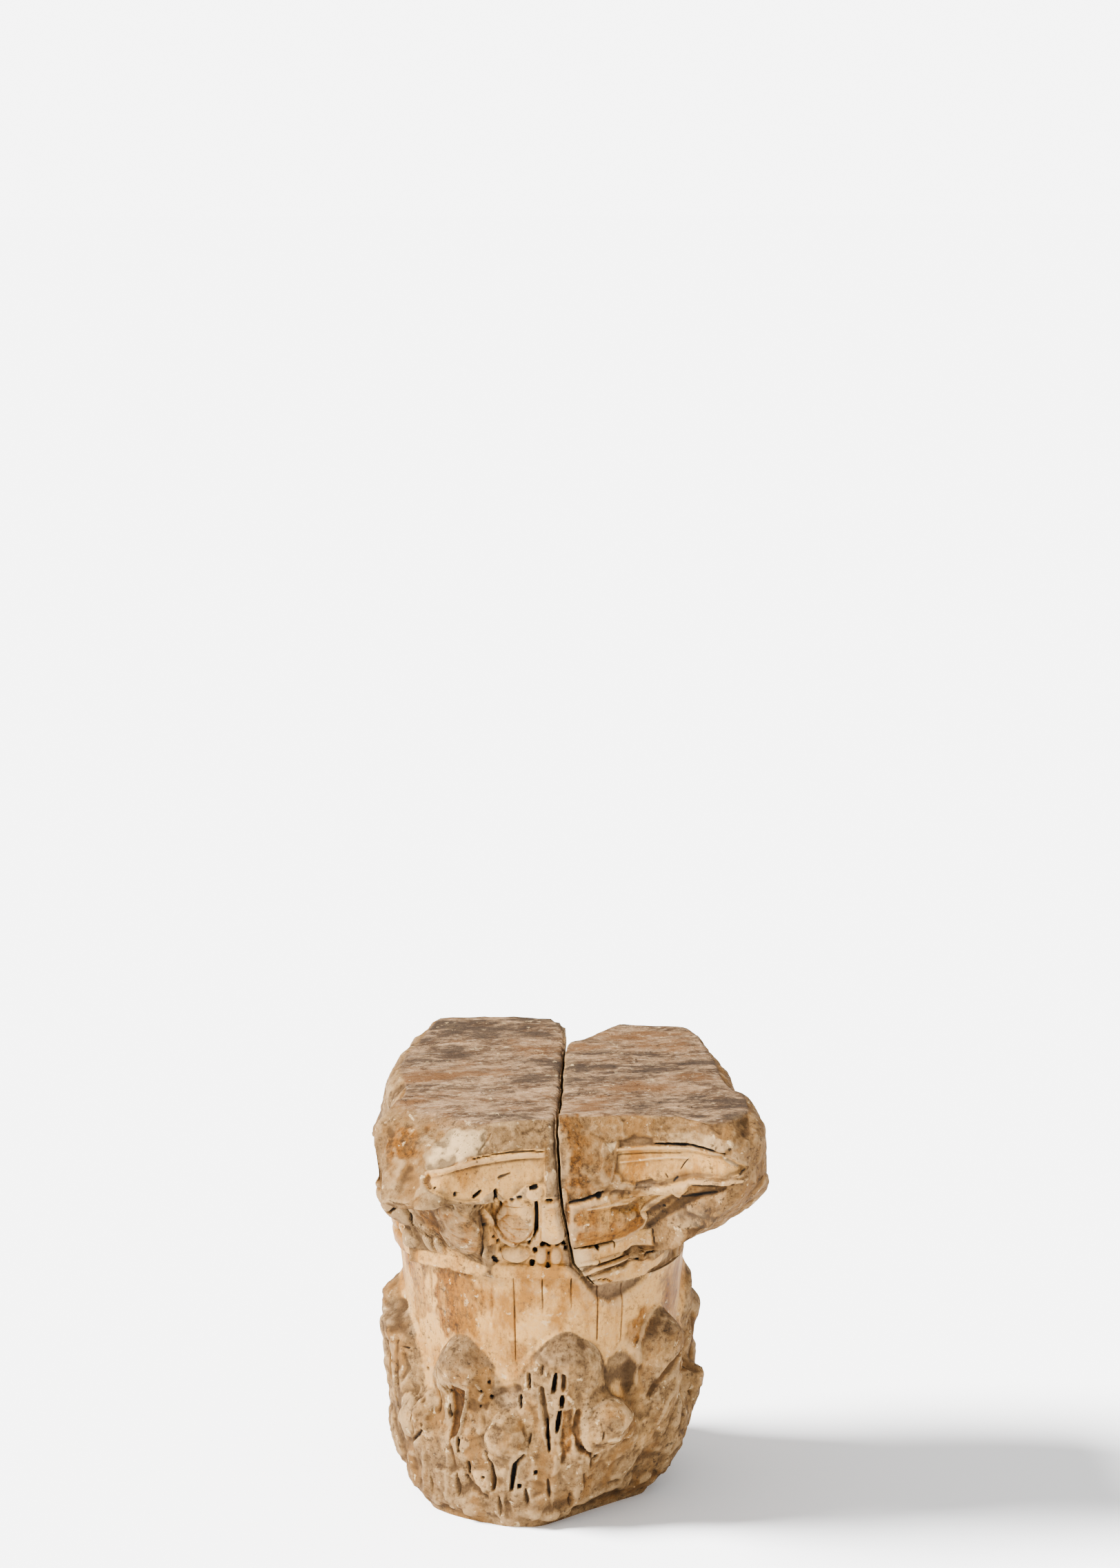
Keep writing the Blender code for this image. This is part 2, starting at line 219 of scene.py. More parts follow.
def ring_profile(level):
    """Radius of the rings alone: astragal, bead row and the hollow behind the eggs."""
    levels = [0.2965, 0.2995, 0.3010, 0.3120, 0.3155, 0.3175, 0.331, 0.3445, 0.3475, 0.358, 0.385, 0.398]
    radii = [0.1670, 0.1690, 0.1755, 0.1775, 0.1762, 0.1720, 0.1752, 0.1740, 0.1800, 0.187, 0.190, 0.196]
    return np.interp(level, levels, radii)


def abacus(angle, level):
    """Concave-sided square of the volute channel and the abacus over it.

    From the middle of a side the radius grows with (1/cos a - 1) to the power 1.15.
    """
    side = np.round(np.asarray(angle) / 90.0).astype(int) % 4
    reach = np.array(SIDE_REACHES)[side]
    off_side = np.radians(turn_from(angle, 90.0 * side))
    to_corner = (1.0 / np.cos(off_side) - 1.0) / (math.sqrt(2.0) - 1.0)
    return reach + (WHOLE_CORNER_REACH - reach) * to_corner ** 1.15 + 0.0 * level


def stump_reach(level, reach, hang):
    """Reach of a broken volute along its diagonal, growing upwards from the bead row."""
    share = np.clip((level - BEAD_LEVEL) / (CHANNEL_LEVEL + 0.0056 - BEAD_LEVEL), 0.0, 1.0)
    return ASTRAGAL_RADIUS + (reach - ASTRAGAL_RADIUS) * share ** (1.0 / (0.6 + hang))


# Broken volutes: angle, reach, and how much hangs below the channel
VOLUTES = [(47.0, 0.302, 1.7), (132.0, 0.232, 0.3), (-132.0, 0.194, 0.2), (-47.0, 0.238, 0.2)]

# Leaning break planes: direction, reach at the top (at the underside for the foot), and lean
BREAKS = [(0.0, 0.2375, 0.0), (44.0, 0.300, 0.0), (80.0, 0.252, 0.05), (109.0, 0.240, 0.2),
          (160.0, 0.190, 0.2), (-116.0, 0.178, 0.4), (-100.0, 0.188, 0.3), (-44.0, 0.222, 0.6)]
FOOT_BREAKS = [(30.0, 0.131, 0.45), (80.0, 0.131, 0.60), (-92.0, 0.152, 0.50)]


def upper_stone(angle, level):
    """Rings, channel, abacus and the four broken volutes over the bell."""
    radius = ring_profile(level)
    over_rings = soft_step(level, CHANNEL_LEVEL - 0.006, CHANNEL_LEVEL + 0.003)
    radius = radius + (abacus(angle, level) - radius) * over_rings
    for centre, reach, hang in VOLUTES:
        turn = np.radians(turn_from(angle, centre))
        along = stump_reach(level, reach, hang) / np.maximum(np.cos(turn), 0.3)
        beside = 0.5 * VOLUTE_THICKNESS / np.maximum(np.abs(np.sin(turn)), 0.02)
        volute = np.where(np.cos(turn) > 0.3, soft_min(along, beside, 0.020), 0.0)
        radius = soft_max(radius, volute, 0.005)
    for normal, reach, lean in BREAKS:
        radius = soft_min(radius, plane_radius(angle, normal, reach + lean * (TOP_LEVEL - level)), 0.012)
    return radius


def stone_radius(angle, level):
    """Radius of the broken stone at an angle and a level."""
    over_neck = soft_step(level, BELL_TOP - 0.003, BELL_TOP + 0.001)
    radius = foliage(angle, level) * (1.0 - over_neck) + upper_stone(angle, level) * over_neck
    for normal, reach, lean in FOOT_BREAKS:
        radius = soft_min(radius, plane_radius(angle, normal, reach + lean * level), 0.012)
    less_at_back = 0.65 + 0.35 * np.cos(np.radians(angle))
    worn = RIM_WEAR * less_at_back * soft_step(level, TOP_LEVEL - 0.036, TOP_LEVEL) ** 2
    round_rim = np.clip((level - TOP_LEVEL + 0.014) / 0.014, 0.0, 1.0)
    worn = worn + 0.011 * (1.0 - np.sqrt(1.0 - round_rim ** 2))
    return radius - worn - 0.010 * (1.0 - soft_step(level, 0.0, 0.020))


def block_radius(angle, level):
    """The stone without the chip off the block's back right corner, at the top only."""
    chip = plane_radius(angle, 93.0, 0.053 + 1.5 * (TOP_LEVEL - level))
    return soft_min(stone_radius(angle, level), chip, 0.010)


def fragment_radius(angle, level):
    """The stone clipped by the upright break behind the fragment."""
    leaning = 0.036 + 0.6 * (TOP_LEVEL - level)
    return soft_min(stone_radius(angle, level), plane_radius(angle, -141.5, leaning), 0.010)


def band_lift(angle, level):
    """Rise of the fragment's carved bands where it has rolled, fading out towards the top."""
    rolled = soft_step(level, BELL_TOP - 0.05, BELL_TOP) * (1.0 - soft_step(level, EGG_LEVEL, TOP_LEVEL))
    return FRAGMENT_BAND_TILT * NECK_RADIUS * (np.sin(np.radians(angle)) - 0.1) * rolled


def placed(angle, level, radius, lifted):
    """Points for angles, levels and radii, with the fragment's lift and the slope of the top bed."""
    turn = np.radians(angle)
    height = level + (band_lift(angle, level) if lifted else 0.0)
    points = np.stack([radius * np.sin(turn), -radius * np.cos(turn), height + 0.0 * radius], axis=-1)
    points[..., 2] += BED_RISE * points[..., 1] * soft_step(height, CHANNEL_LEVEL, TOP_LEVEL)
    return points


def blurred(values, columns, rows):
    """Mean over a window of columns, which close round the axis, and rows, which don't."""
    out = sum(np.roll(values, k, axis=1) for k in range(-columns, columns + 1)) / (2 * columns + 1)
    padded = np.pad(out, ((rows, rows), (0, 0)), mode="edge")
    return sum(padded[k:k + len(out)] for k in range(2 * rows + 1)) / (2 * rows + 1)


def spread(spans):
    """Values from the first span's start to the last one's end; each span has its own count."""
    stops = [np.linspace(low, high, count, endpoint=False) for low, high, count in spans]
    return np.concatenate(stops)


def ring_levels(angle, radius_at, spans, rows):
    """Level of each row in each column: even steps of surface length, finer where spans say.

    spans is a list of (low, high, fineness). The length is blurred over nearby columns, so
    that rows run smoothly from one column to the next.
    """
    level = np.linspace(spans[0][0], spans[-1][1], 1400)[:, None]
    radius = radius_at(angle, level)
    step = np.hypot(np.diff(radius, axis=0), np.diff(level, axis=0))
    middle = 0.5 * (level[1:, 0] + level[:-1, 0])
    fineness = np.ones(len(middle))
    for low, high, value in spans:
        fineness[(middle >= low) & (middle < high)] = value
    travelled = np.cumsum(blurred(step, 6, 2) * fineness[:, None], axis=0)
    travelled = np.vstack([np.zeros_like(travelled[:1]), travelled])
    travelled /= travelled[-1]
    even = np.linspace(0.0, 1.0, rows)
    return np.stack([np.interp(even, travelled[:, k], level[:, 0]) for k in range(len(angle))], axis=1)


def grid_normals(points):
    """Outward unit normals of a grid of rows going up and columns going round."""
    along = np.roll(points, -1, axis=1) - np.roll(points, 1, axis=1)
    up = np.gradient(points, axis=0)
    normal = np.cross(along, up)
    return normal / np.maximum(np.linalg.norm(normal, axis=-1, keepdims=True), 1e-12)


def closed_mesh(name, points, masks):
    """A mesh of the grid's quads with its two ends closed by fans; masks become attributes."""
    rows, columns = points.shape[:2]
    flat = points.reshape(-1, 3)
    foot = flat[:columns].mean(axis=0)
    foot[2] = flat[:columns, 2].min()
    crown = flat[-columns:].mean(axis=0)
    vertices = np.vstack([flat, foot, crown])
    index = np.arange(rows * columns).reshape(rows, columns)
    following = np.roll(index, -1, axis=1)
    quads = np.stack([index[:-1], following[:-1], following[1:], index[1:]], axis=-1).reshape(-1, 4)
    low = np.stack([following[0], index[0], np.full(columns, rows * columns)], axis=-1)
    high = np.stack([index[-1], following[-1], np.full(columns, rows * columns + 1)], axis=-1)
    corners = np.concatenate([quads.ravel(), low.ravel(), high.ravel()])
    sizes = np.concatenate([np.full(len(quads), 4), np.full(2 * columns, 3)])
    starts = np.concatenate([[0], np.cumsum(sizes)[:-1]])
    mesh = bpy.data.meshes.new(name)
    mesh.vertices.add(len(vertices))
    mesh.vertices.foreach_set("co", vertices.ravel())
    mesh.loops.add(len(corners))
    mesh.loops.foreach_set("vertex_index", corners)
    mesh.polygons.add(len(sizes))
    mesh.polygons.foreach_set("loop_start", starts)
    mesh.update(calc_edges=True)
    for mask, values in masks.items():
        layer = mesh.attributes.new(mask, "FLOAT", "POINT")
        layer.data.foreach_set("value", np.append(values.ravel(), [0.0, 0.5]).astype(np.float32))
    return mesh


def across_crack(side, run, up):
    """World points from their side and run across and along the crack, and their height."""
    turn = math.radians(CRACK_TURN)
    return np.stack([side * math.cos(turn) + run * math.sin(turn),
                     -side * math.sin(turn) + run * math.cos(turn), up], axis=-1)


def crack_surface(shift):
    """Corner points of the fracture cutter, a closed prism with a rough crack wall and seat.

    The wall and the seat are a profile in the plane across the crack, carried along the crack,
    and pushed about by layered noise. shift moves both away from the block.
    """
    wall = np.array([(CRACK_SIDE, 0.70), *CRACK_PROFILE, (FAR_OUT, SEAT_LEVEL + 0.010)])
    travelled = np.concatenate([[0.0], np.cumsum(np.hypot(*np.diff(wall, axis=0).T))])
    fine = np.arange(travelled[1] - 0.20, travelled[4] + 0.30, CRACK_STEP)
    stops = np.concatenate([[0.0], fine, travelled[-1:]])
    side = np.interp(stops, travelled, wall[:, 0])
    up = np.interp(stops, travelled, wall[:, 1])
    along = np.concatenate([[-FAR_OUT], np.arange(-0.33, 0.33, CRACK_STEP), [FAR_OUT]])
    side, run = np.meshgrid(side, along, indexing="ij")
    up = np.meshgrid(up, along, indexing="ij")[0]
    rough = CRACK_ROUGHNESS * layered_noise(across_crack(side, run, up), CRACK_SWELLING, 4, 71)
    on_wall = 1.0 - soft_step(side, 0.05, 0.08)
    side = side + rough * on_wall + shift[0]
    up = up + 0.6 * rough * (1.0 - on_wall) + shift[1]
    return across_crack(side, run, up)


def fracture_cutter(name, shift):
    """Closed mesh of the fracture cutter: the crack surface, its two ends and its outer side."""
    points = crack_surface(shift)
    rows, columns = points.shape[:2]
    outer = points[-1].copy()
    outer[:, 2] = points[0, 0, 2]
    vertices = np.vstack([points.reshape(-1, 3), outer])
    index = np.arange((rows + 1) * columns).reshape(rows + 1, columns)
    quads = np.stack([index[:-1, :-1], index[:-1, 1:], index[1:, 1:], index[1:, :-1]], axis=-1)
    quads = quads.reshape(-1, 4)
    lid = np.stack([index[-1, :-1], index[-1, 1:], index[0, 1:], index[0, :-1]], axis=-1)
    faces = [tuple(face) for face in np.vstack([quads, lid]).tolist()]
    faces.append(tuple(index[::-1, 0].tolist()))
    faces.append(tuple(index[:, -1].tolist()))
    mesh = bpy.data.meshes.new(name)
    mesh.from_pydata(vertices.tolist(), [], faces)
    body = bmesh.new()
    body.from_mesh(mesh)
    bmesh.ops.recalc_face_normals(body, faces=body.faces)
    body.to_mesh(mesh)
    body.free()
    return mesh


def crack_distance(points):
    """Distance of points from the middle of the crack wall, 1 m where there is no wall."""
    turn = math.radians(CRACK_TURN)
    side = points[..., 0] * math.cos(turn) - points[..., 1] * math.sin(turn)
    sides, levels = np.array(CRACK_PROFILE[::-1]).T
    wall = np.interp(points[..., 2], levels, sides)
    wander = CRACK_ROUGHNESS * layered_noise(points, CRACK_SWELLING, 2, 71)
    return np.where(points[..., 2] > SEAT_LEVEL - 0.004, side - wall - wander, 1.0)


def rounded_loss(gap):
    """How far an edge worn to a quarter circle 9 mm wide stands back, at a gap from the crack."""
    inward = np.clip(1.0 - gap / 0.009, 0.0, 1.0)
    return 0.0065 * (1.0 - np.sqrt(np.clip(1.0 - inward ** 2, 0.0, 1.0)))


def path_distance(points, path):
    """Distance of points from a path of straight pieces or one point, and how far along, 0 to 1."""
    if len(path) == 1:
        path = np.repeat(path, 2, axis=0)
    lengths = np.linalg.norm(np.diff(path, axis=0), axis=1)
    total = max(lengths.sum(), 1e-9)
    nearest = np.full(points.shape[:-1], 9.0)
    along = np.zeros(points.shape[:-1])
    done = 0.0
    for start, end, length in zip(path[:-1], path[1:], lengths):
        run = end - start
        share = np.clip(np.sum((points - start) * run, axis=-1) / max(length ** 2, 1e-12), 0.0, 1.0)
        gap = np.linalg.norm(points - start - share[..., None] * run, axis=-1)
        closer = gap < nearest
        nearest = np.where(closer, gap, nearest)
        along = np.where(closer, (done + share * length) / total, along)
        done += length
    return nearest, along


# Squeeze of the coordinates that draws the top bed's tool marks out along X
BED_STREAK = np.array([0.35, 1.0, 1.0])

# the soot mask paints drilled holes, grooves and cracks near-black: soot together with painted shade
MASKS = ("carved", "stain", "soot_and_shade", "fresh", "grey", "lichen")


class Stone:
    """One piece of the capital while it is carved: its grid, its normals and its masks."""

    def __init__(self, angle, level, radius_at, lifted):
        self.angle = np.broadcast_to(angle, level.shape)
        self.level = level
        self.radius_at = radius_at
        self.lifted = lifted
        self.base = placed(self.angle, level, radius_at(self.angle, level), lifted)
        self.normal = grid_normals(self.base)
        self.relief = np.zeros(level.shape)
        self.masks = {name: np.zeros(level.shape) for name in MASKS}

    def spot(self, angle, level):
        """Point of the plain surface at one angle and level."""
        angle = np.array([float(angle)])
        level = np.array([float(level)])
        return placed(angle, level, self.radius_at(angle, level), self.lifted)[0]

    def stroke(self, places, width, depth, edge=0.7, taper=0.2, mask=None, amount=1.0):
        """Cuts (depth > 0) or raises (depth < 0) a line through (angle, level) places.

        width is half the line's width; both sizes are in millimetres. The section is flat over
        1 - edge of the half width and eases out over the rest. taper narrows it towards both
        ends. mask, if given, takes on amount along the line.
        """
        path = np.array([self.spot(*place) for place in places])
        margin = 0.0012 * width + 0.001
        low = path.min(axis=0) - margin
        high = path.max(axis=0) + margin
        near = np.all((self.base > low) & (self.base < high), axis=-1)
        if not near.any():
            return
        gap, along = path_distance(self.base[near], path)
        half = 0.001 * width * (1.0 - taper * np.abs(2.0 * along - 1.0) ** 2)
        wander = 1.0 + 0.22 * lattice_noise(self.base[near], 0.009, 41)
        shape = 1.0 - soft_step(gap * wander / half, 1.0 - edge, 1.0 + 0.15 * edge)
        self.relief[near] -= 0.001 * depth * shape
        if mask:
            self.masks[mask][near] = np.maximum(self.masks[mask][near], amount * shape)

    def strokes(self, mask, cuts):
        """Strokes that share one mask, each (places, width, depth, edge, taper, amount)."""
        for places, width, depth, edge, taper, amount in cuts:
            self.stroke(places, width, depth, edge, taper, mask, amount)

    def panel(self, ring, depth, edge=3.0, mask=None, amount=1.0, rough=0.0):
        """Sinks (depth > 0) or raises the area inside a ring of (angle, level) places.

        The step at its edge is 2 x edge wide and wanders by about rough, all in millimetres.
        """
        across = np.radians(self.angle) * 0.19
        ring = np.array([(math.radians(angle) * 0.19, level) for angle, level in ring])
        low = ring.min(axis=0) - 0.002 * (edge + rough)
        high = ring.max(axis=0) + 0.002 * (edge + rough)
        near = (across > low[0]) & (across < high[0]) & (self.level > low[1]) & (self.level < high[1])
        flat = np.stack([across[near], self.level[near]], axis=-1)
        closed = np.vstack([ring, ring[:1]])
        gap = path_distance(flat, closed)[0]
        inside = np.zeros(len(flat), dtype=bool)
        for (x0, y0), (x1, y1) in zip(closed[:-1], closed[1:]):
            if y0 != y1:
                inside ^= ((y0 > flat[:, 1]) != (y1 > flat[:, 1])) & \
                    (flat[:, 0] < x0 + (flat[:, 1] - y0) * (x1 - x0) / (y1 - y0))
        signed = np.where(inside, gap, -gap)
        if rough:
            signed = signed + 0.001 * rough * layered_noise(self.base[near], 0.012, 2, 37)
        shape = soft_step(signed, -0.001 * edge, 0.001 * edge)
        self.relief[near] -= 0.001 * depth * shape
        if mask:
            self.masks[mask][near] = np.maximum(self.masks[mask][near], amount * shape)

    def mound(self, angle, level, half_width, half_height, height, power=0.6, lean=0.0):
        """Raises a rounded mound centred at (angle, level); sizes are in millimetres."""
        across = np.radians(turn_from(self.angle, angle)) * 190.0
        up = (self.level - level) * 1000.0
        along = up * math.cos(lean) + across * math.sin(lean)
        across = across * math.cos(lean) - up * math.sin(lean)
        square = (across / half_width) ** 2 + (along / half_height) ** 2
        self.relief += 0.001 * height * np.clip(1.0 - square, 0.0, 1.0) ** power

    def drill(self, holes):
        """Drill holes, each (angle, level, radius, depth), the last two in millimetres, painted near-black
        inside: soot and painted shade.
        """
        for angle, level, radius, depth in holes:
            self.stroke([(angle, level)], radius, depth, 0.55, 0.0, "soot_and_shade", 1.0)

    def finished(self):
        """The carved points."""
        return self.base + self.normal * self.relief[..., None]


def facets(points, size, seed):
    """Broken faces, about -0.5 to 0.5: every cell has its own tilted plane, blended at the edges."""
    scaled = points / size
    base = np.floor(scaled).astype(np.int64)
    total = np.zeros(points.shape[:-1])
    weights = np.zeros(points.shape[:-1])
    for step in product((-1, 0, 1), repeat=3):
        cell = base + np.array(step)
        away = scaled - cell - np.stack([cell_value(cell, seed + k) for k in range(3)], axis=-1)
        tilt = np.stack([cell_value(cell, seed + 3 + k) for k in range(3)], axis=-1) - 0.5
        weight = np.exp(-14.0 * np.sum(away ** 2, axis=-1))
        total += weight * (np.sum(away * tilt, axis=-1) + 0.6 * (cell_value(cell, seed + 6) - 0.5))
        weights += weight
    return total / np.maximum(weights, 1e-12)


def weather(stone, seed):
    """Broken faces, pits and streaky tool marks over the whole piece, and the worn crack edges."""
    base = stone.base
    carved = stone.masks["carved"]
    flatness = soft_step(stone.normal[..., 2], 0.75, 0.95) * soft_step(base[..., 2], 0.44, 0.47)
    rough = (1.0 - 0.88 * carved) * (1.0 - flatness) * soft_step(base[..., 2], 0.0, 0.012)
    stone.relief += rough * 0.0100 * (facets(base, 0.052, seed) - 0.16)
    lower = 1.0 - soft_step(base[..., 2], 0.10, 0.20)
    stone.relief += rough * (0.0030 + 0.0025 * lower) * facets(base, 0.018, seed + 20)
    stone.relief += rough * 0.0006 * layered_noise(base, 0.007, 2, seed + 5)
    pits = soft_step(layered_noise(base, 0.009, 2, seed + 9), 0.65, 1.0) * (1.0 - flatness)
    stone.relief -= 0.0008 * pits * (0.25 + 0.75 * rough)
    stone.relief += flatness * (0.0005 * layered_noise(base * BED_STREAK, 0.012, 3, seed + 13) - 0.0004)
    stone.relief += flatness * 0.0020 * (layered_noise(base, 0.07, 2, seed + 17) - 0.5)
    gap = np.abs(crack_distance(base))
    stone.relief -= rounded_loss(gap)
    stone.masks["grey"] = np.maximum(stone.masks["grey"], 0.8 * soft_step(-gap, -0.012, -0.004))
    stone.masks["top"] = flatness


def hollows(stone):
    """Mask of how deep each point lies below its surroundings, 0 on ridges to 1 in hollows.

    It is weaker where the columns stand further apart than 4 mm.
    """
    relief = stone.relief
    fine = blurred(relief, 4, 3) - relief
    broad = blurred(relief, 12, 9) - relief
    apart = np.linalg.norm(np.roll(stone.base, -1, axis=1) - stone.base, axis=-1)
    share = np.clip(0.004 / apart, 0.0, 1.0)
    return np.clip(0.5 + share * (fine / 0.0050 + broad / 0.013), 0.0, 1.0)


def bell_and_bands(stone):
    """Grooves between the tongues of the bell, darkened with dirt and painted shade, and where the old
    carved skin is left.
    """
    relief = foliage(stone.angle, stone.level) - bell(stone.level)
    on_bell = 1.0 - soft_step(stone.level, 0.2965, 0.2985)
    skin = 1.0 - 0.74 * soft_step(relief, 0.003, 0.010)
    low_skin = soft_step(stone.level, 0.03, 0.09)
    stone.masks["carved"] = on_bell * skin * low_skin
    rings = soft_step(stone.level, 0.2965, 0.2985) * (1.0 - soft_step(stone.level, 0.345, 0.349))
    beyond_rings = upper_stone(stone.angle, stone.level) - ring_profile(stone.level)
    under_volute = soft_step(beyond_rings, 0.004, 0.010)
    stone.masks["carved"] = np.maximum(stone.masks["carved"], rings * (1.0 - under_volute))
    for turn in range(-10, 22):
        angle = 1.2 + TONGUE_PITCH * turn
        levels = np.arange(0.2985, 0.15, -0.006)
        bare = foliage(angle, levels) - bell(levels) < 0.0035
        stop = levels[np.argmin(bare)] if not bare.all() else levels[-1]
        if stop < 0.285:
            share = 0.35 + 0.65 * lone_value(turn, 7)
            end = 0.2985 + (stop - 0.2985) * share
            stone.stroke([(angle, 0.2985), (angle + 0.3, end)], 1.3, 1.5, 1.0, 0.5, "stain", 0.9)
            stone.stroke([(angle, 0.2985), (angle + 0.2, 0.5 * (0.2985 + end))],
                         1.0, 0.8, 1.0, 0.6, "soot_and_shade", 0.55)


def leaf_breaks(stone):
    """Grey broken caps of the upper leaves."""
    for centre, tip, half_width, height, fall in UPPER_LEAVES[:8]:
        relief = leaf(stone.angle, stone.level, centre, tip, half_width, height, fall)
        wander = 0.12 * layered_noise(stone.base, 0.02, 2, 51)
        below = (tip - stone.level) / LEAF_CURL + wander
        cap = soft_step(relief, 0.0025, 0.007) * (1.0 - soft_step(below, 0.65, 0.85))
        stone.masks["grey"] = np.maximum(stone.masks["grey"], 0.40 * cap)
        stone.masks["carved"] *= 1.0 - cap


def plain_leaves(stone, leaves):
    """Drilled channels, midrib and side folds of the leaves that the photograph doesn't show."""
    for centre, tip, *_ in leaves:
        for side in (-1.0, 1.0):
            stone.stroke([(centre + 3.2 * side, tip - 0.055), (centre + 4.0 * side, tip - 0.100)],
                         2.6, 9.0, 0.6, 0.2, "soot_and_shade", 0.7)
            stone.stroke([(centre + 9.0 * side, tip - 0.050), (centre + 8.0 * side, tip - 0.105)],
                         3.4, 5.0, 0.9, 0.3, "soot_and_shade", 0.3)
        stone.stroke([(centre, tip - 0.03), (centre, tip - 0.11)], 4.0, -2.5, 1.0, 0.3)


def plain_ring(stone, start, end):
    """Worn eggs, darts, beads and reels from one angle to another, at the pitch of the front."""
    first = math.ceil((start - EGG_OFFSET) / EGG_PITCH)
    for turn in range(first, int((end - EGG_OFFSET) // EGG_PITCH) + 1):
        angle = EGG_OFFSET + EGG_PITCH * turn
        stone.mound(angle, 0.374, 22.0, 28.0, 9.0)
        for side in (-1.0, 1.0):
            stone.stroke([(angle + 6.6 * side, 0.397), (angle + 6.6 * side, 0.365),
                          (angle + 4.0 * side, 0.349)], 2.4, 7.0, 0.6, 0.2, "soot_and_shade", 0.8)
        stone.mound(angle - 1.7, 0.330, 18.0, 11.5, 6.0)
        for offset in (8.4, 13.0):
            stone.mound(angle + offset, 0.330, 7.5, 11.5, 5.0)


def block_channel(stone):
    """Volute channel of the block: cut line, roll, sunk band with its ragged lower edge."""
    stone.panel([(-9, .458), (-15, .459), (-22, .458), (-28, .456), (-33, .451), (-37.5, .447),
                 (-40, .441), (-39.5, .433), (-36, .421), (-34, .412), (-31, .406), (-27.5, .405),
                 (-26, .412), (-23.5, .417), (-21, .403), (-19, .404), (-16.5, .414), (-15, .419),
                 (-9, .421)], 3.2, 1.6, "carved")
    stone.panel([(-9, .470), (-15, .473), (-22, .472), (-29, .469), (-33, .460), (-40, .450),
                 (-40, .441), (-30, .453), (-15, .457), (-9, .456)], 0.0, 2.0, "carved")
    stone.stroke([(-9.5, .462), (-15, .4645), (-22, .464), (-29, .461), (-34, .454), (-40, .446)],
                 3.4, -2.6, 1.0, 0.2, "carved")
    stone.stroke([(-9.5, .467), (-15, .470), (-22, .4695), (-29, .466)],
                 1.5, 3.2, 0.8, 0.4, "soot_and_shade", 0.55)
    # painted shade: the brown band under the roll, laid with the stain mask
    stone.stroke([(-9.5, .456), (-18, .457), (-28, .454), (-33, .450)],
                 1.6, 1.5, 1.0, 0.5, "stain", 0.3)
    stone.stroke([(-39.5, .444), (-39.5, .436), (-38, .430)], 4.0, 3.5, 0.8, 0.2, "stain", 0.6)
    stone.panel([(-27, .500), (-24.5, .482), (-27, .472), (-31, .470), (-36, .458), (-40, .450),
                 (-42, .460), (-41, .480), (-38, .496)], 2.0, 3.0, "fresh", 0.8, 3.0)
    stone.stroke([(-25.5, .496), (-26.5, .484), (-27.5, .476)], 1.4, 1.5, 0.9, 0.3, "stain", 0.4)
    stone.panel([(-56, .492), (-46, .490), (-45, .462), (-52, .452), (-57, .462)],
                1.0, 5.0, "stain", 0.6, 5.0)
    stone.stroke([(-16, .493), (-13, .496), (-10, .494)], 5.0, 1.5, 1.0, 0.3, "soot_and_shade", 0.35)


def block_root(stone):
    """Broken root of the front left volute, under its channel."""
    # painted shadow: a dark line under the broken channel's edge, cut as a groove and laid with the soot
    # mask
    stone.stroke([(-48, .403), (-41, .403), (-36, .400), (-30, .396)], 4.5, 6.0, 0.9, 0.3, "soot_and_shade", 0.25)
    stone.mound(-38.0, 0.360, 27.0, 36.0, 9.0, 0.6, 0.25)
    stone.panel([(-45, .392), (-31, .393), (-30, .345), (-34, .318), (-39, .330), (-43, .360)],
                0.0, 4.0, "carved", 0.35, 2.0)
    stone.panel([(-56, .385), (-40, .392), (-31, .388), (-31, .345), (-36, .325), (-50, .345)],
                0.0, 5.0, "stain", 0.50, 9.0)
    stone.stroke([(-29.6, .396), (-29, .378), (-29, .360), (-30, .343), (-32, .327)],
                 2.6, 6.0, 0.8, 0.3, "soot_and_shade", 0.6)
    for line in range(7):
        start = -62.0 + 2.6 * line
        stone.stroke([(start, .357 - .001 * line), (start + 6.0, .341 - .001 * line),
                      (start + 14.0, .318)], 1.6, 1.6, 1.0, 0.6, "soot_and_shade", 0.35)
    stone.stroke([(-52, .400), (-56, .385), (-62, .372)], 3.0, 6.0, 0.8, 0.2, "soot_and_shade", 0.6)


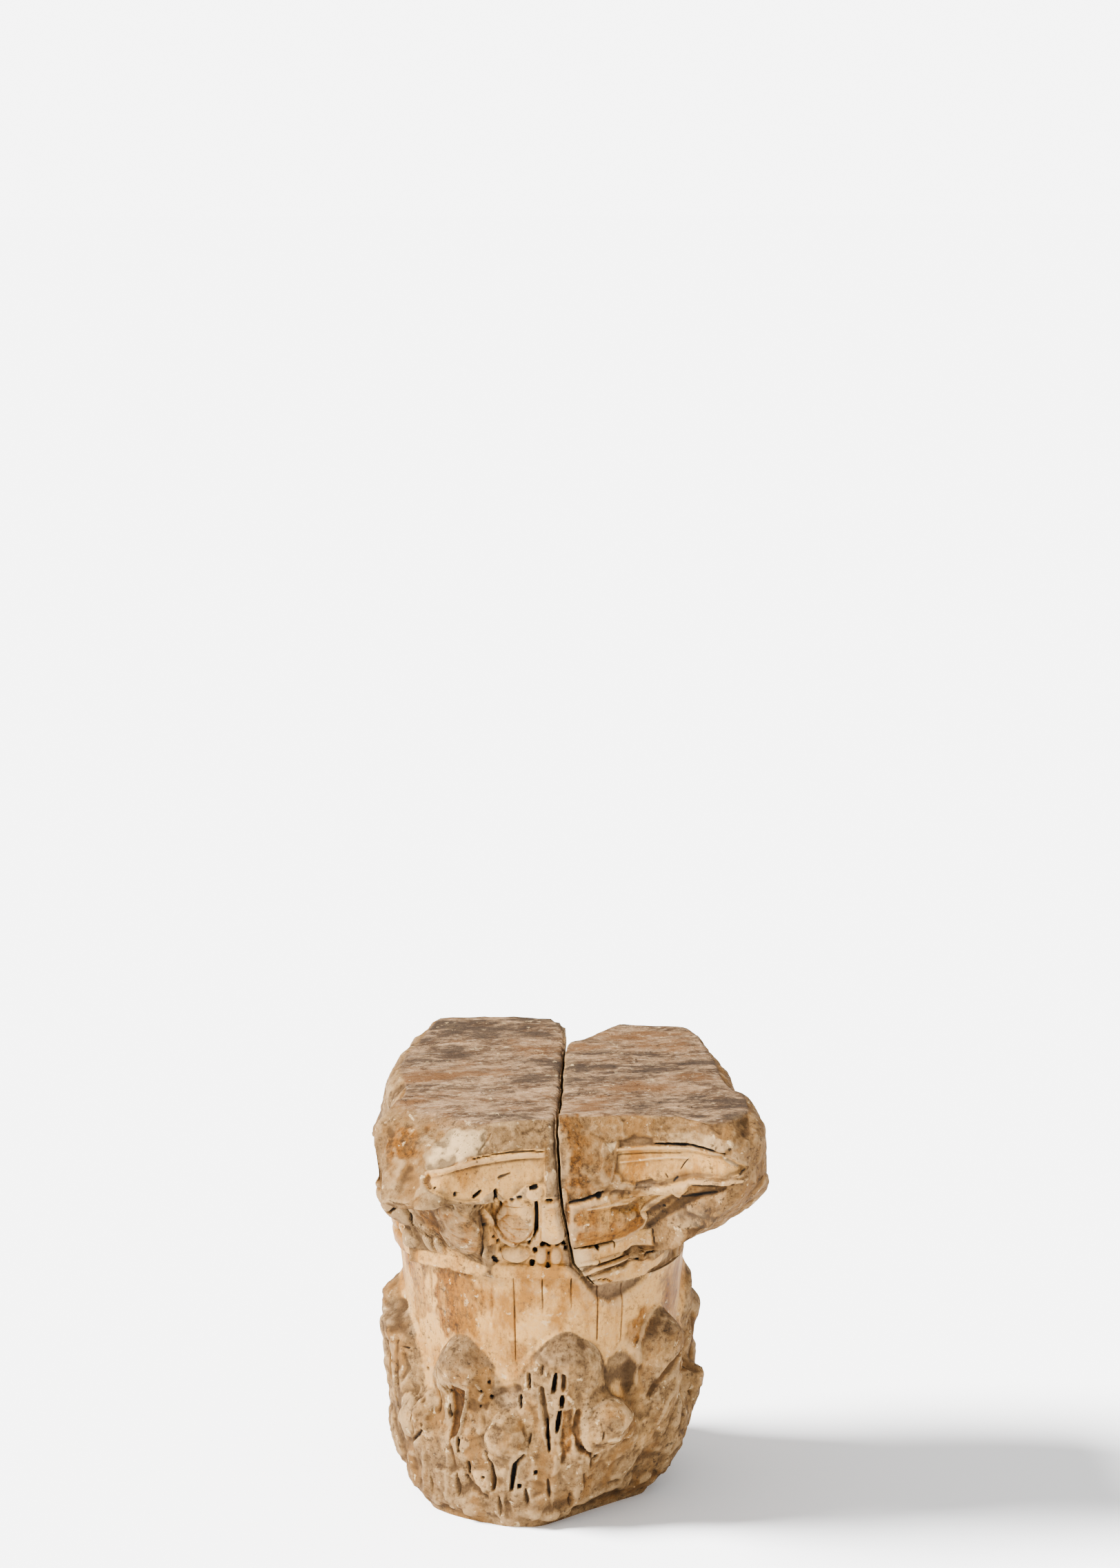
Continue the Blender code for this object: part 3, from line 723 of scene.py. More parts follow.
def block_egg(stone):
    """Egg in its split calyx, the dart block beside it and the drilled slot between them."""
    stone.panel([(-29, .400), (-24, .402), (-12, .404), (-1.5, .402), (-1.5, .343), (-28, .343)],
                0.0, 3.0, "carved")
    stone.mound(-19.2, 0.374, 22.0, 29.0, 13.0, 0.55, 0.2)
    stone.mound(-24.5, 0.388, 9.0, 14.0, 4.0, 0.7, 0.5)
    stone.stroke([(-29.5, .393), (-27.7, .372), (-25, .358), (-21, .347), (-16.5, .342)],
                 4.4, -5.0, 1.0, 0.3, "carved")
    stone.stroke([(-28.3, .392), (-26.3, .372), (-23.3, .359), (-19.5, .351)],
                 1.1, 2.2, 1.0, 0.3, "stain", 0.4)
    # painted shade with some stain: brown over the egg, heaviest on its lower part, laid with the stain
    # mask
    stone.panel([(-28, .394), (-20, .396), (-13.5, .376), (-13.5, .348), (-20, .345), (-27, .360)],
                0.0, 5.0, "stain", 0.60, 7.0)
    stone.panel([(-24, .366), (-13.5, .364), (-14, .346), (-20, .344)], 0.0, 5.0, "stain", 0.80, 5.0)
    stone.stroke([(-24, .380), (-19.5, .368), (-14.5, .366)], 1.2, 1.2, 1.0, 0.4, "stain", 0.3)
    stone.stroke([(-22.5, .368), (-19, .358), (-15, .356)], 1.2, 1.2, 1.0, 0.4, "stain", 0.3)
    stone.stroke([(-12.2, .400), (-12, .382), (-12.1, .364), (-13, .351), (-15, .344)],
                 2.5, 12.0, 0.45, 0.2, "soot_and_shade")
    stone.panel([(-10.4, .397), (-2.2, .398), (-1.8, .372), (-2.4, .350), (-6, .344), (-10.2, .350)],
                -4.5, 1.4, "fresh", 0.22, 0.8)
    stone.mound(-12.4, 0.409, 9.0, 9.0, 4.5)
    stone.panel([(-15, .418), (-9, .419), (-9, .402), (-15, .401)], 0.0, 2.0, "carved")
    stone.drill([(-36.5, .430, 2.2, 5), (-32.5, .417, 2.9, 5), (-19.5, .402, 3.1, 8),
                 (-17, .4045, 3.3, 6), (-8.2, .399, 2.9, 7), (-7.2, .399, 2.4, 6),
                 (-28.5, .370, 2.1, 5), (-28, .360, 2.0, 5), (-27.2, .352, 2.2, 5)])
    stone.strokes("soot_and_shade", [
        ([(-28.6, .411), (-27.2, .417)], 2.5, 7.0, 0.6, 0.1, 1.0),
        ([(-23.4, .416), (-23.6, .405), (-23.8, .394)], 3.2, 8.0, 0.7, 0.3, 0.9),
        ([(-13.6, .4165), (-11.8, .4175)], 2.4, 6.0, 0.6, 0.1, 1.0),
        ([(-22.6, .433), (-19.6, .438)], 2.6, 2.2, 0.8, 0.2, 0.45)])


def block_beads(stone):
    """Long bead, two reels and the drill holes round them."""
    stone.mound(-20.3, 0.330, 19.5, 11.5, 7.5, 0.55, -0.08)
    stone.mound(-10.4, 0.329, 7.5, 12.0, 5.5, 0.7)
    stone.mound(-5.0, 0.327, 8.0, 12.0, 5.5, 0.8)
    stone.stroke([(-25.8, .336), (-24.5, .324), (-20, .3185)], 1.4, 2.0, 0.9, 0.3, "stain", 0.8)
    stone.drill([(-26.2, .345, 3.3, 6), (-12.8, .335, 3.2, 8), (-7.6, .331, 1.7, 5),
                 (-1.2, .336, 3.3, 7), (-13.9, .3195, 3.8, 8), (-8, .3165, 3.8, 7),
                 (-26.8, .325, 2.8, 6)])
    stone.strokes("soot_and_shade", [
        ([(-27.2, .327), (-26.2, .320)], 2.8, 6.0, 0.6, 0.2, 1.0),
        ([(-10.2, .341), (-8.8, .3445), (-7.4, .341)], 2.9, 8.0, 0.6, 0.1, 0.95),
        ([(-4.5, .341), (-3.0, .3445), (-1.6, .341)], 2.9, 8.0, 0.6, 0.1, 0.95)])


def block_bell(stone):
    """Rust on the bell, and the fresh grey break under the fragment, darkened further by painted shade."""
    stone.panel([(-58, .298), (-42, .297), (-37, .280), (-34, .258), (-38, .222), (-47, .212),
                 (-56, .220), (-59, .260)], 0.0, 8.0, "stain", 0.75, 12.0)
    for line in range(8):
        start = -60.0 + 4.3 * line
        end = 0.222 + 0.030 * lone_value(line, 19)
        stone.stroke([(start, .298), (start - 1.0, end)], 4.0, 0.2, 1.0, 0.6, "stain", 0.70)
    stone.panel([(-80, .292), (-64, .296), (-62, .262), (-66, .228), (-78, .222)],
                0.0, 8.0, "stain", 0.6, 12.0)
    stone.panel([(44, .280), (64, .283), (64, .238), (48, .232)], 0.0, 7.0, "stain", 0.55, 10.0)
    stone.panel([(-27, .236), (-18, .226), (-12, .205), (-16, .176), (-25, .180)],
                0.0, 7.0, "stain", 0.45, 10.0)
    stone.panel([(27, .236), (36, .252), (38, .226), (33, .200), (28, .206)],
                0.0, 6.0, "stain", 0.6, 8.0)
    stone.panel([(-3, .296), (3.5, .296), (3, .280), (-2, .284)], 0.0, 3.0, "soot_and_shade", 0.25, 4.0)
    # painted shade under the fragment, together with grey break colour, laid with the grey mask
    stone.panel([(5, .299), (8, .284), (12, .272), (17.5, .263), (23, .267), (30, .275), (36, .285),
                 (42, .299), (30, .306), (15, .306)], 4.5, 3.0, "grey", 1.0, 1.0)


def leaf_left(stone):
    """Drilling and folds of the broken leaf on the left, with its brown panel."""
    slot = "soot_and_shade"
    stone.strokes(slot, [
        ([(-60, .171), (-61, .160), (-62.5, .150)], 2.6, 8.0, 0.6, 0.2, 0.9),
        ([(-56.5, .152), (-56, .138), (-56, .124)], 2.6, 7.0, 0.8, 0.2, 0.7),
        ([(-53, .176), (-52, .165), (-50, .150)], 2.6, 10.0, 0.5, 0.2, 0.95),
        ([(-49.3, .136), (-49, .122)], 2.4, 8.0, 0.6, 0.2, 0.95),
        ([(-48.3, .160), (-48, .152)], 2.4, 8.0, 0.6, 0.2, 0.9)])
    stone.panel([(-45, .165), (-40.5, .160), (-41.5, .142), (-43.5, .122), (-44.5, .105), (-47.5, .098),
                 (-48, .130), (-47.3, .155)], 7.0, 2.5, "stain", 0.95, 1.0)
    stone.stroke([(-47.5, .098), (-46.5, .080), (-46, .062)], 3.2, 2.0, 1.0, 0.4, "stain", 0.5)
    stone.stroke([(-38.5, .163), (-40.5, .146), (-42.5, .122), (-43.5, .100)],
                 3.4, -4.5, 1.0, 0.3, "grey", 0.8)
    stone.stroke([(-43.3, .101), (-43.6, .086)], 2.4, 12.0, 0.5, 0.2, slot)
    stone.stroke([(-35, .172), (-33, .160), (-34.5, .150)], 3.0, -4.0, 1.0, 0.2, "grey", 0.5)
    stone.drill([(-33.6, .1615, 2.5, 6), (-30.5, .173, 2.6, 5), (-29.9, .153, 2.5, 6),
                 (-34.5, .141, 2.2, 4)])
    # painted shade: grey in the sunk valley right of the leaf, laid with the grey mask
    stone.panel([(-30, .168), (-19.5, .168), (-18.5, .142), (-30, .143)], 2.5, 4.0, "grey", 0.75, 2.0)
    stone.strokes(slot, [
        ([(-19.2, .156), (-18.8, .144)], 3.0, 8.0, 0.7, 0.2, 0.8),
        ([(-16, .186), (-15.4, .169)], 3.4, 9.0, 0.8, 0.2, 0.6),
        ([(-82, .186), (-75, .184)], 1.5, 3.0, 0.8, 0.2, 0.7)])
    stone.stroke([(-76, .176), (-74, .160), (-77, .145)], 5.0, 4.0, 1.0, 0.3, "soot_and_shade", 0.2)
    stone.stroke([(-66, .165), (-62, .135), (-60, .105)], 3.2, 4.0, 1.0, 0.3)


def leaf_middle(stone):
    """Drilling and folds of the middle leaf, with its brown groove."""
    stone.strokes("soot_and_shade", [
        ([(-10.7, .169), (-9.7, .150), (-8.6, .131), (-7.8, .112)], 6.0, 7.5, 1.0, 0.35, 0.22),
        ([(-8.6, .128), (-7.8, .112), (-7.4, .097)], 2.4, 8.0, 0.7, 0.3, 0.8),
        ([(-11.2, .198), (-11, .188)], 2.8, 5.0, 0.7, 0.15, 0.45),
        ([(-5.5, .187), (-5.6, .176), (-6, .165)], 2.8, 12.0, 0.4, 0.1, 1.0),
        ([(-2.6, .187), (-2.2, .178), (-2.2, .168)], 3.2, 7.0, 0.8, 0.1, 0.4),
        ([(-2.6, .158), (-2.7, .148)], 2.9, 12.0, 0.4, 0.1, 1.0),
        ([(-3.4, .140), (-3.9, .130), (-4.4, .119)], 3.1, 13.0, 0.4, 0.1, 1.0)])
    stone.panel([(-2.4, .142), (1.5, .146), (2.4, .120), (0.8, .095), (-2.8, .082), (-3.2, .105)],
                4.0, 3.0, "stain", 0.6, 2.0)
    stone.stroke([(4, .140), (3.2, .122), (3.4, .105), (5, .094), (8, .088)],
                 5.0, 6.5, 1.0, 0.2, "stain")
    stone.stroke([(4.2, .100), (6, .093)], 3.0, 3.0, 1.0, 0.2, "soot_and_shade", 0.7)
    stone.drill([(10.3, .0845, 3.8, 10)])
    stone.stroke([(-0.2, .158), (1.6, .152)], 2.3, -1.4, 0.8, 0.0, "fresh")
    stone.stroke([(-8, .110), (-7.8, .108)], 1.8, -3.0, 0.8, 0.0, "fresh")


def leaf_right(stone):
    """Grey hollow between the middle and the right leaf, and the folds of the right one."""
    stone.panel([(16, .178), (18, .196), (26, .204), (30, .182), (27, .160), (20, .158)],
                5.0, 6.0, "grey", 0.8, 4.0)
    stone.panel([(20, .184), (27, .188), (27, .170), (22, .163)], 2.0, 4.0, "soot_and_shade", 0.14, 3.0)
    stone.stroke([(42, .243), (35, .225), (31.5, .207), (29.5, .182), (29, .163)], 4.0, -4.0, 1.0, 0.3)
    stone.stroke([(50, .188), (43, .175), (37, .160), (34, .146)], 7.0, 6.0, 1.0, 0.3, "stain", 0.4)
    stone.stroke([(55, .170), (47, .152), (41, .132), (38, .108)], 5.0, -4.0, 1.0, 0.3)
    stone.stroke([(60, .160), (52, .135), (47, .110), (45, .085)], 3.0, 4.0, 1.0, 0.3, "soot_and_shade", 0.3)
    stone.stroke([(70, .150), (62, .125), (57, .095), (52, .060)], 3.0, 4.0, 1.0, 0.3, "soot_and_shade", 0.25)


def low_leaves(stone):
    """Broken lower leaves: rough bosses, and the channels and ribs under them."""
    stone.mound(-23.0, 0.123, 33.0, 36.0, 3.5, 0.4)
    stone.mound(16.5, 0.124, 40.0, 28.0, 4.5, 0.4, 0.1)
    stone.mound(-72.0, 0.107, 19.0, 26.0, 9.0, 0.45, -0.2)
    stone.stroke([(-60.5, .098), (-64, .090), (-68, .080)], 3.0, 6.0, 0.9, 0.2, "soot_and_shade", 0.55)
    stone.stroke([(-82, .123), (-81, .108)], 2.6, 5.0, 0.8, 0.2, "soot_and_shade", 0.5)
    stone.stroke([(14, .107), (16.3, .108), (18.5, .106)], 2.6, -1.5, 0.8, 0.0, "fresh")
    stone.stroke([(12.5, .1015), (18, .1005), (24, .098)], 1.6, 2.5, 0.9, 0.2, "soot_and_shade", 0.6)
    stone.stroke([(10.8, .128), (11.6, .118), (11.4, .109)], 1.8, 3.0, 0.9, 0.2, "soot_and_shade", 0.45)
    stone.stroke([(-18.5, .098), (-16.2, .095)], 2.2, -1.5, 0.8, 0.0, "fresh")
    stone.stroke([(-30, .105), (-29.8, .098)], 2.0, 4.0, 0.7, 0.2, "soot_and_shade", 0.8)
    stone.stroke([(-14.3, .116), (-15, .106)], 2.4, 4.0, 0.9, 0.2, "soot_and_shade", 0.4)
    stone.drill([(-12.6, .071, 2.6, 5), (-18.6, .052, 3.0, 7), (-32.6, .060, 2.8, 7)])
    stone.stroke([(-31.5, .088), (-29.5, .075), (-29, .060), (-29.2, .046)],
                 3.6, 7.0, 0.9, 0.2, "soot_and_shade", 0.5)
    stone.stroke([(-39.6, .073), (-39.3, .061)], 2.8, 8.0, 0.6, 0.2, "soot_and_shade", 0.9)
    stone.panel([(-38.5, .066), (-30.5, .068), (-30, .046), (-33, .041), (-36, .050)],
                -3.5, 2.5, "carved", 0.4, 1.0)
    stone.stroke([(-41, .056), (-37, .042), (-32, .034)], 3.4, 5.0, 0.9, 0.2, "grey", 0.6)
    stone.stroke([(-17, .092), (-20, .080), (-21, .064), (-21.6, .048)],
                 3.6, 10.0, 0.8, 0.25, "soot_and_shade", 0.85)
    for angle, low, high, width in [(-50, .02, .085, 2.8), (-6, .024, .09, 3.0), (-14.5, .036, .085, 5.0),
                                    (-25, .03, .075, 5.0), (3, .03, .075, 3.5), (-63, .02, .07, 3.0)]:
        stone.stroke([(angle, low), (angle + 1.0, high)], width + 3.0, -1.6, 1.0, 0.6)
    for angle, low, high in [(-8, .040, .055), (6.5, .045, .058), (8.6, .070, .080), (-58, .024, .036),
                             (-16.5, .030, .042), (-45, .03, .05), (1.5, .02, .035), (-27, .015, .03)]:
        stone.stroke([(angle, high + 0.006), (angle + 0.8, low)], 3.0, 4.5, 1.0, 0.6, "soot_and_shade", 0.4)


def carve_block(box):
    """The main block before the fracture; box is what the CAD fills."""
    angle = spread([(-104, -75, 34), (-75, -32, 84), (-32, 2, 90), (2, 46, 74), (46, 84, 40),
                    (84, 256, 50)])
    spans = [(0.0, 0.03, 0.8), (0.03, 0.25, 1.0), (0.25, 0.30, 0.8), (0.30, 0.415, 1.5),
             (0.415, 0.47, 1.15), (0.47, TOP_LEVEL, 1.0)]
    stone = Stone(angle, ring_levels(angle, block_radius, spans, 262), block_radius, False)
    bell_and_bands(stone)
    leaf_breaks(stone)
    plain_leaves(stone, [place for place in UPPER_LEAVES[:8] if abs(place[0] + 10.0) > 60.0])
    plain_leaves(stone, [place for place in LOWER_LEAVES if abs(place[0] + 10.0) > 70.0])
    plain_ring(stone, -120.0, -62.0)
    plain_ring(stone, 60.0, 240.0)
    for part in (block_channel, block_root, block_egg, block_beads, block_bell, leaf_left, leaf_middle,
                 leaf_right, low_leaves):
        part(stone)
    weather(stone, 3)
    return finish_grid(stone, box)


def fragment_channel(stone):
    """Volute channel of the fragment: sunk band, two rolls, undercut line and white chips."""
    stone.panel([(-2, .510), (3.5, .505), (5, .470), (3, .440), (6, .420), (5, .405), (-2, .400)],
                0.0, 5.0, "stain", 0.75, 9.0)
    stone.panel([(-2, .500), (1.0, .500), (1.5, .470), (0.5, .440), (2.5, .425), (2, .402), (-2, .400)],
                0.0, 5.0, "soot_and_shade", 0.28, 8.0)
    stone.panel([(9, .480), (13, .476), (14, .450), (12, .425), (9, .440)],
                0.0, 5.0, "stain", 0.45, 8.0)
    stone.panel([(16, .450), (24, .444), (30, .440), (31, .420), (24, .418), (16, .425)],
                0.0, 5.0, "stain", 0.20, 9.0)
    stone.mound(5.0, 0.443, 30.0, 46.0, 5.0, 0.5)
    stone.panel([(14.5, .464), (20, .467), (27, .468), (32, .467), (34.8, .462), (37.5, .450),
                 (40, .438), (38, .430), (35, .425), (32.5, .421), (31, .414), (28.5, .408), (27, .412),
                 (24, .410), (19, .411), (16, .416), (14.5, .430), (15, .450)],
                4.0, 2.6, "carved", 1.0, 1.5)
    stone.stroke([(14.7, .4635), (20, .4645), (27, .465), (32, .464), (35, .460)],
                 2.8, -2.8, 1.0, 0.2, "carved")
    # painted highlight: the pale crest of the lower roll, laid with the fresh mask
    stone.stroke([(15.5, .444), (20, .4455), (24, .448), (29, .450), (31.8, .449)],
                 2.2, -2.0, 1.0, 0.3, "fresh", 0.4)
    stone.stroke([(15, .456), (22, .457), (30, .457), (33.5, .455)], 1.5, 1.8, 1.0, 0.3, "soot_and_shade", 0.25)
    stone.stroke([(25, .471), (30, .4715), (32.5, .4715), (34.8, .468)],
                 2.3, 5.0, 0.7, 0.4, "soot_and_shade", 0.95)
    stone.panel([(15.3, .478), (20, .486), (24.5, .482), (24.5, .470), (15.5, .467)],
                4.0, 3.0, "grey", 0.5, 2.0)
    stone.panel([(10.6, .477), (13, .474), (14.6, .479), (14.2, .468), (12.7, .458), (11.6, .464)],
                0.8, 1.2, "fresh", 0.9, 2.5)
    stone.stroke([(14.9, .466), (14.7, .450), (14.4, .432)], 2.6, 1.0, 1.0, 0.4, "soot_and_shade", 0.3)
    stone.stroke([(34.6, .461), (36, .452), (38, .443)], 3.0, 0.8, 0.7, 0.1, "fresh")
    stone.panel([(26, .492), (34, .490), (38, .478), (34, .472), (27, .474)],
                0.0, 3.0, "fresh", 0.35, 4.0)
    stone.strokes("soot_and_shade", [
        ([(30.4, .431), (31.1, .440), (31.8, .448)], 1.2, 1.0, 1.0, 0.3, 0.7),
        ([(38, .429), (39.8, .435)], 1.6, 1.0, 1.0, 0.3, 0.8),
        ([(27.3, .423), (27.7, .418)], 1.8, 0.8, 1.0, 0.1, 0.7),
        ([(29, .413), (29.8, .418)], 1.8, 0.8, 1.0, 0.1, 0.7)])


def fragment_egg(stone):
    """Slanting egg from the crack up to the volute, whose rolled rim is its lower edge."""
    stone.panel([(-1, .397), (6, .399), (12, .402), (17, .398), (21, .400), (25, .405), (28, .409),
                 (31, .415), (36, .421), (39.5, .420), (36, .4165), (33, .412), (31.3, .400),
                 (30, .388), (29, .379), (27.9, .368), (26.7, .359), (26, .352), (24.5, .346),
                 (20.6, .3435), (16, .341), (11, .341), (5, .340), (-1, .340)],
                -8.0, 4.0, "carved", 0.9)
    stone.stroke([(-1, .368), (8, .367), (15, .366), (21, .368)], 17.0, -4.0, 1.0, 0.5)
    stone.strokes("carved", [
        ([(14, .384), (19, .380), (23, .384), (26, .393), (28.5, .403)], 8.0, 3.5, 1.0, 0.5, 1.0),
        ([(17, .345), (21, .347), (24.5, .350), (26, .356), (27.3, .366), (28.7, .378), (29.8, .388),
          (31, .400), (31.3, .409), (33.5, .4145), (38, .419)], 3.2, -3.4, 1.0, 0.3, 1.0),
        ([(26, .352), (27.5, .365), (29, .379), (30.2, .390), (31.5, .402)], 4.2, -4.5, 1.0, 0.3, 1.0)])
    stone.stroke([(-1, .398), (5, .400), (10, .405)], 2.2, 4.5, 0.8, 0.3, "soot_and_shade", 0.75)
    stone.stroke([(2, .3385), (8, .3365), (14, .3365), (20, .338), (24.5, .341)],
                 2.4, 6.0, 0.8, 0.3, "soot_and_shade", 0.8)
    # painted shade with some stain: brown over the egg, heaviest on its lower part, laid with the stain
    # mask
    stone.panel([(-1, .395), (4, .397), (8, .388), (10, .365), (8, .345), (4, .340), (-1, .343)],
                0.5, 5.0, "stain", 0.9, 3.0)
    stone.panel([(8, .378), (16, .374), (23, .376), (26, .362), (20, .345), (6, .340)],
                0.0, 6.0, "stain", 0.80, 7.0)
    stone.panel([(-1, .397), (14, .399), (28, .400), (28, .375), (25, .350), (6, .341), (-1, .341)],
                0.0, 5.0, "stain", 0.45, 9.0)
    stone.stroke([(5, .391), (10, .391), (15, .391), (19, .388)], 3.2, -0.8, 1.0, 0.3, "fresh", 0.5)
    stone.panel([(11.5, .401), (14, .407), (17, .404), (17.5, .396), (14, .392)],
                2.0, 1.5, "grey", 0.4, 1.0)
    stone.panel([(20, .412), (24, .417), (25.5, .411), (23, .404), (19.5, .405)],
                2.5, 1.5, "grey", 0.8, 1.0)
    stone.stroke([(24.3, .338), (26.5, .350), (28, .366)], 1.2, 1.6, 1.0, 0.3)
    stone.drill([(8.6, .4025, 4.2, 5)])


def fragment_volute(stone):
    """Hollow under the volute's rim, and the dark crust on its broken side."""
    stone.stroke([(28.2, .350), (30, .366), (31.5, .382), (33, .396), (35, .409)],
                 6.5, 4.5, 1.0, 0.4, "carved", 0.3)
    # painted shadow in the hollow under the rim, laid with the soot mask
    stone.stroke([(31.6, .390), (32.8, .395), (34, .402)], 3.4, 2.2, 0.9, 0.4, "soot_and_shade", 0.6)
    stone.drill([(30, .376, 2.2, 1.5)])
    stone.stroke([(32.5, .4085), (34, .412), (36.5, .4155)], 2.2, 3.0, 1.0, 0.3, "soot_and_shade", 0.7)
    stone.panel([(31.3, .385), (33.5, .387), (36, .372), (35, .356), (32, .350), (31, .365)],
                0.0, 5.0, "lichen", 1.0, 3.0)
    stone.panel([(26.8, .372), (29.5, .377), (29.5, .345), (27.5, .342)], 0.0, 4.0, "lichen", 0.8, 3.0)


def fragment_beads(stone):
    """Bead row, two fillets and the grooves between them, chipped at the left end."""
    stone.panel([(0.5, .340), (10, .334), (17, .334), (23, .336), (28.5, .345), (28.7, .326),
                 (20, .314), (11, .313), (2, .317)], -3.2, 1.6, "carved", 1.0, 0.5)
    for line in ([(11, .334), (11.5, .314)], [(17.5, .335), (18, .316)], [(28.6, .345), (28.9, .325)]):
        stone.stroke(line, 1.3, 3.0, 0.8, 0.2, "soot_and_shade", 0.7)
    stone.panel([(0.5, .337), (9, .331), (9.5, .316), (5, .302), (2, .308)],
                2.5, 1.6, "fresh", 0.55, 2.0)
    stone.drill([(10.8, .333, 3.0, 6)])
    stone.stroke([(5, .303), (10, .3075), (18, .309), (23, .311), (28.5, .314)],
                 3.4, -4.0, 0.9, 0.5, "carved")
    stone.stroke([(6, .2975), (10, .300), (19, .301), (24.5, .3025), (30, .309), (40, .311)],
                 1.7, 4.0, 0.8, 0.2, "soot_and_shade", 0.85)
    stone.stroke([(11, .3125), (18, .3125), (24, .3145), (28.7, .323)], 1.5, 3.0, 0.8, 0.2, "soot_and_shade", 0.6)
    stone.panel([(7, .296), (17, .296), (26, .297), (33, .300), (45, .298), (44, .285), (33, .281),
                 (23, .281), (10, .284)], -1.5, 1.5, "carved", 0.8, 1.0)
    stone.stroke([(8, .290), (11.5, .292), (16, .289), (19.5, .282), (24, .279)],
                 1.4, 2.6, 0.9, 0.2, "soot_and_shade", 0.65)


def carve_fragment(box):
    """The fragment before the fracture; box is what the CAD fills."""
    angle = spread([(-14, -2, 8), (-2, 24, 74), (24, 40, 100), (40, 62, 66), (62, 96, 60), (96, 170, 56),
                    (170, 346, 22)])
    spans = [(0.262, 0.30, 1.0), (0.30, 0.42, 1.2), (0.42, 0.47, 1.1), (0.47, TOP_LEVEL, 1.0)]
    stone = Stone(angle, ring_levels(angle, fragment_radius, spans, 190), fragment_radius, True)
    for part in (fragment_channel, fragment_egg, fragment_volute, fragment_beads):
        part(stone)
    weather(stone, 23)
    return finish_grid(stone, box)


def finish_grid(stone, box):
    """The carved grid with the top bed's rings added inwards, kept in the box, and its masks."""
    points = stone.finished()
    masks = dict(stone.masks)
    masks["hollow"] = hollows(stone)
    rim = points[-1]
    centre = np.array([0.0, 0.0, TOP_LEVEL])
    shares = 1.0 - np.linspace(0.0, 1.0, 46)[1:-1] ** 1.15
    bed = centre + (rim - centre) * shares[:, None, None]
    bed[..., 2] = TOP_LEVEL + BED_RISE * bed[..., 1]
    wander = 0.0005 * layered_noise(bed * BED_STREAK, 0.012, 3, 16)
    wander += 0.0018 * (layered_noise(bed, 0.07, 2, 20) - 0.5)
    wander -= rounded_loss(np.abs(crack_distance(bed)))
    joining = soft_step(np.linspace(0.0, 1.0, len(shares)), 0.0, 0.12)[:, None]
    from_rim = rim[None, :, 2] - (TOP_LEVEL + BED_RISE * rim[None, :, 1])
    bed[..., 2] += wander * joining + from_rim * (1.0 - joining)
    margin = np.array([0.0003, 0.0003, 0.0])
    whole = np.clip(np.concatenate([points, bed]), np.array(box[0]) + margin, np.array(box[1]) - margin)
    hollow = np.clip(0.5 + (blurred(wander, 3, 3) - wander) / 0.0030, 0.0, 1.0)
    for name in masks:
        extra = {"top": 1.0, "hollow": hollow}.get(name, 0.0)
        masks[name] = np.concatenate([masks[name], np.broadcast_to(extra, bed.shape[:2])])
    return whole, masks


def parted(name, whole, masks, cutter_mesh, operation):
    """The piece's mesh after the fracture cutter, with its masks, as a plain mesh object."""
    rough = bpy.data.objects.new(name + "_whole", closed_mesh(name + "_whole", whole, masks))
    cutter = bpy.data.objects.new(name + "_cutter", cutter_mesh)
    for item in (rough, cutter):
        bpy.context.scene.collection.objects.link(item)
    fracture = rough.modifiers.new("fracture", "BOOLEAN")
    fracture.operation = operation
    fracture.solver = "MANIFOLD"
    fracture.object = cutter
    bpy.context.view_layer.update()
    deps = bpy.context.evaluated_depsgraph_get()
    mesh = bpy.data.meshes.new_from_object(rough.evaluated_get(deps))
    mesh.name = name
    for item in (rough, cutter):
        bpy.data.objects.remove(item)
    mesh.shade_smooth()
    mesh.set_sharp_from_angle(angle=math.radians(55.0))
    piece = bpy.data.objects.new(name, mesh)
    bpy.context.scene.collection.objects.link(piece)
    return piece


def node_group(name, inputs, outputs):
    """An empty node group; inputs and outputs are (name, socket type, default) each."""
    tree = bpy.data.node_groups.new(name, "ShaderNodeTree")
    for side, sockets in (("INPUT", inputs), ("OUTPUT", outputs)):
        for label, kind, value in sockets:
            socket = tree.interface.new_socket(name=label, in_out=side, socket_type="NodeSocket" + kind)
            if value is not None:
                socket.default_value = value
    return tree, tree.nodes.new("NodeGroupInput"), tree.nodes.new("NodeGroupOutput")


def noise(tree, vector, scale, detail, roughness=0.6):
    """Noise texture value at a scale."""
    node = tree.nodes.new("ShaderNodeTexNoise")
    node.inputs["Scale"].default_value = scale
    node.inputs["Detail"].default_value = detail
    node.inputs["Roughness"].default_value = roughness
    tree.links.new(vector, node.inputs["Vector"])
    return node.outputs["Fac"]


def ranged(tree, value, low, high, start=0.0, end=1.0):
    """value mapped from low..high to start..end, clamped; low, high and end may be sockets."""
    node = tree.nodes.new("ShaderNodeMapRange")
    tree.links.new(value, node.inputs["Value"])
    for label, part in (("From Min", low), ("From Max", high), ("To Min", start), ("To Max", end)):
        if isinstance(part, (int, float)):
            node.inputs[label].default_value = part
        else:
            tree.links.new(part, node.inputs[label])
    return node.outputs["Result"]


def mixed(tree, share, first, second, blend="MIX"):
    """Colour mix; share, first and second are sockets or constants."""
    node = tree.nodes.new("ShaderNodeMix")
    node.data_type = "RGBA"
    node.blend_type = blend
    for socket, part in ((node.inputs["Factor"], share), (node.inputs[6], first), (node.inputs[7], second)):
        if isinstance(part, (int, float)):
            socket.default_value = part
        elif isinstance(part, tuple):
            socket.default_value = (*part, 1.0)
        else:
            tree.links.new(part, socket)
    return node.outputs[2]


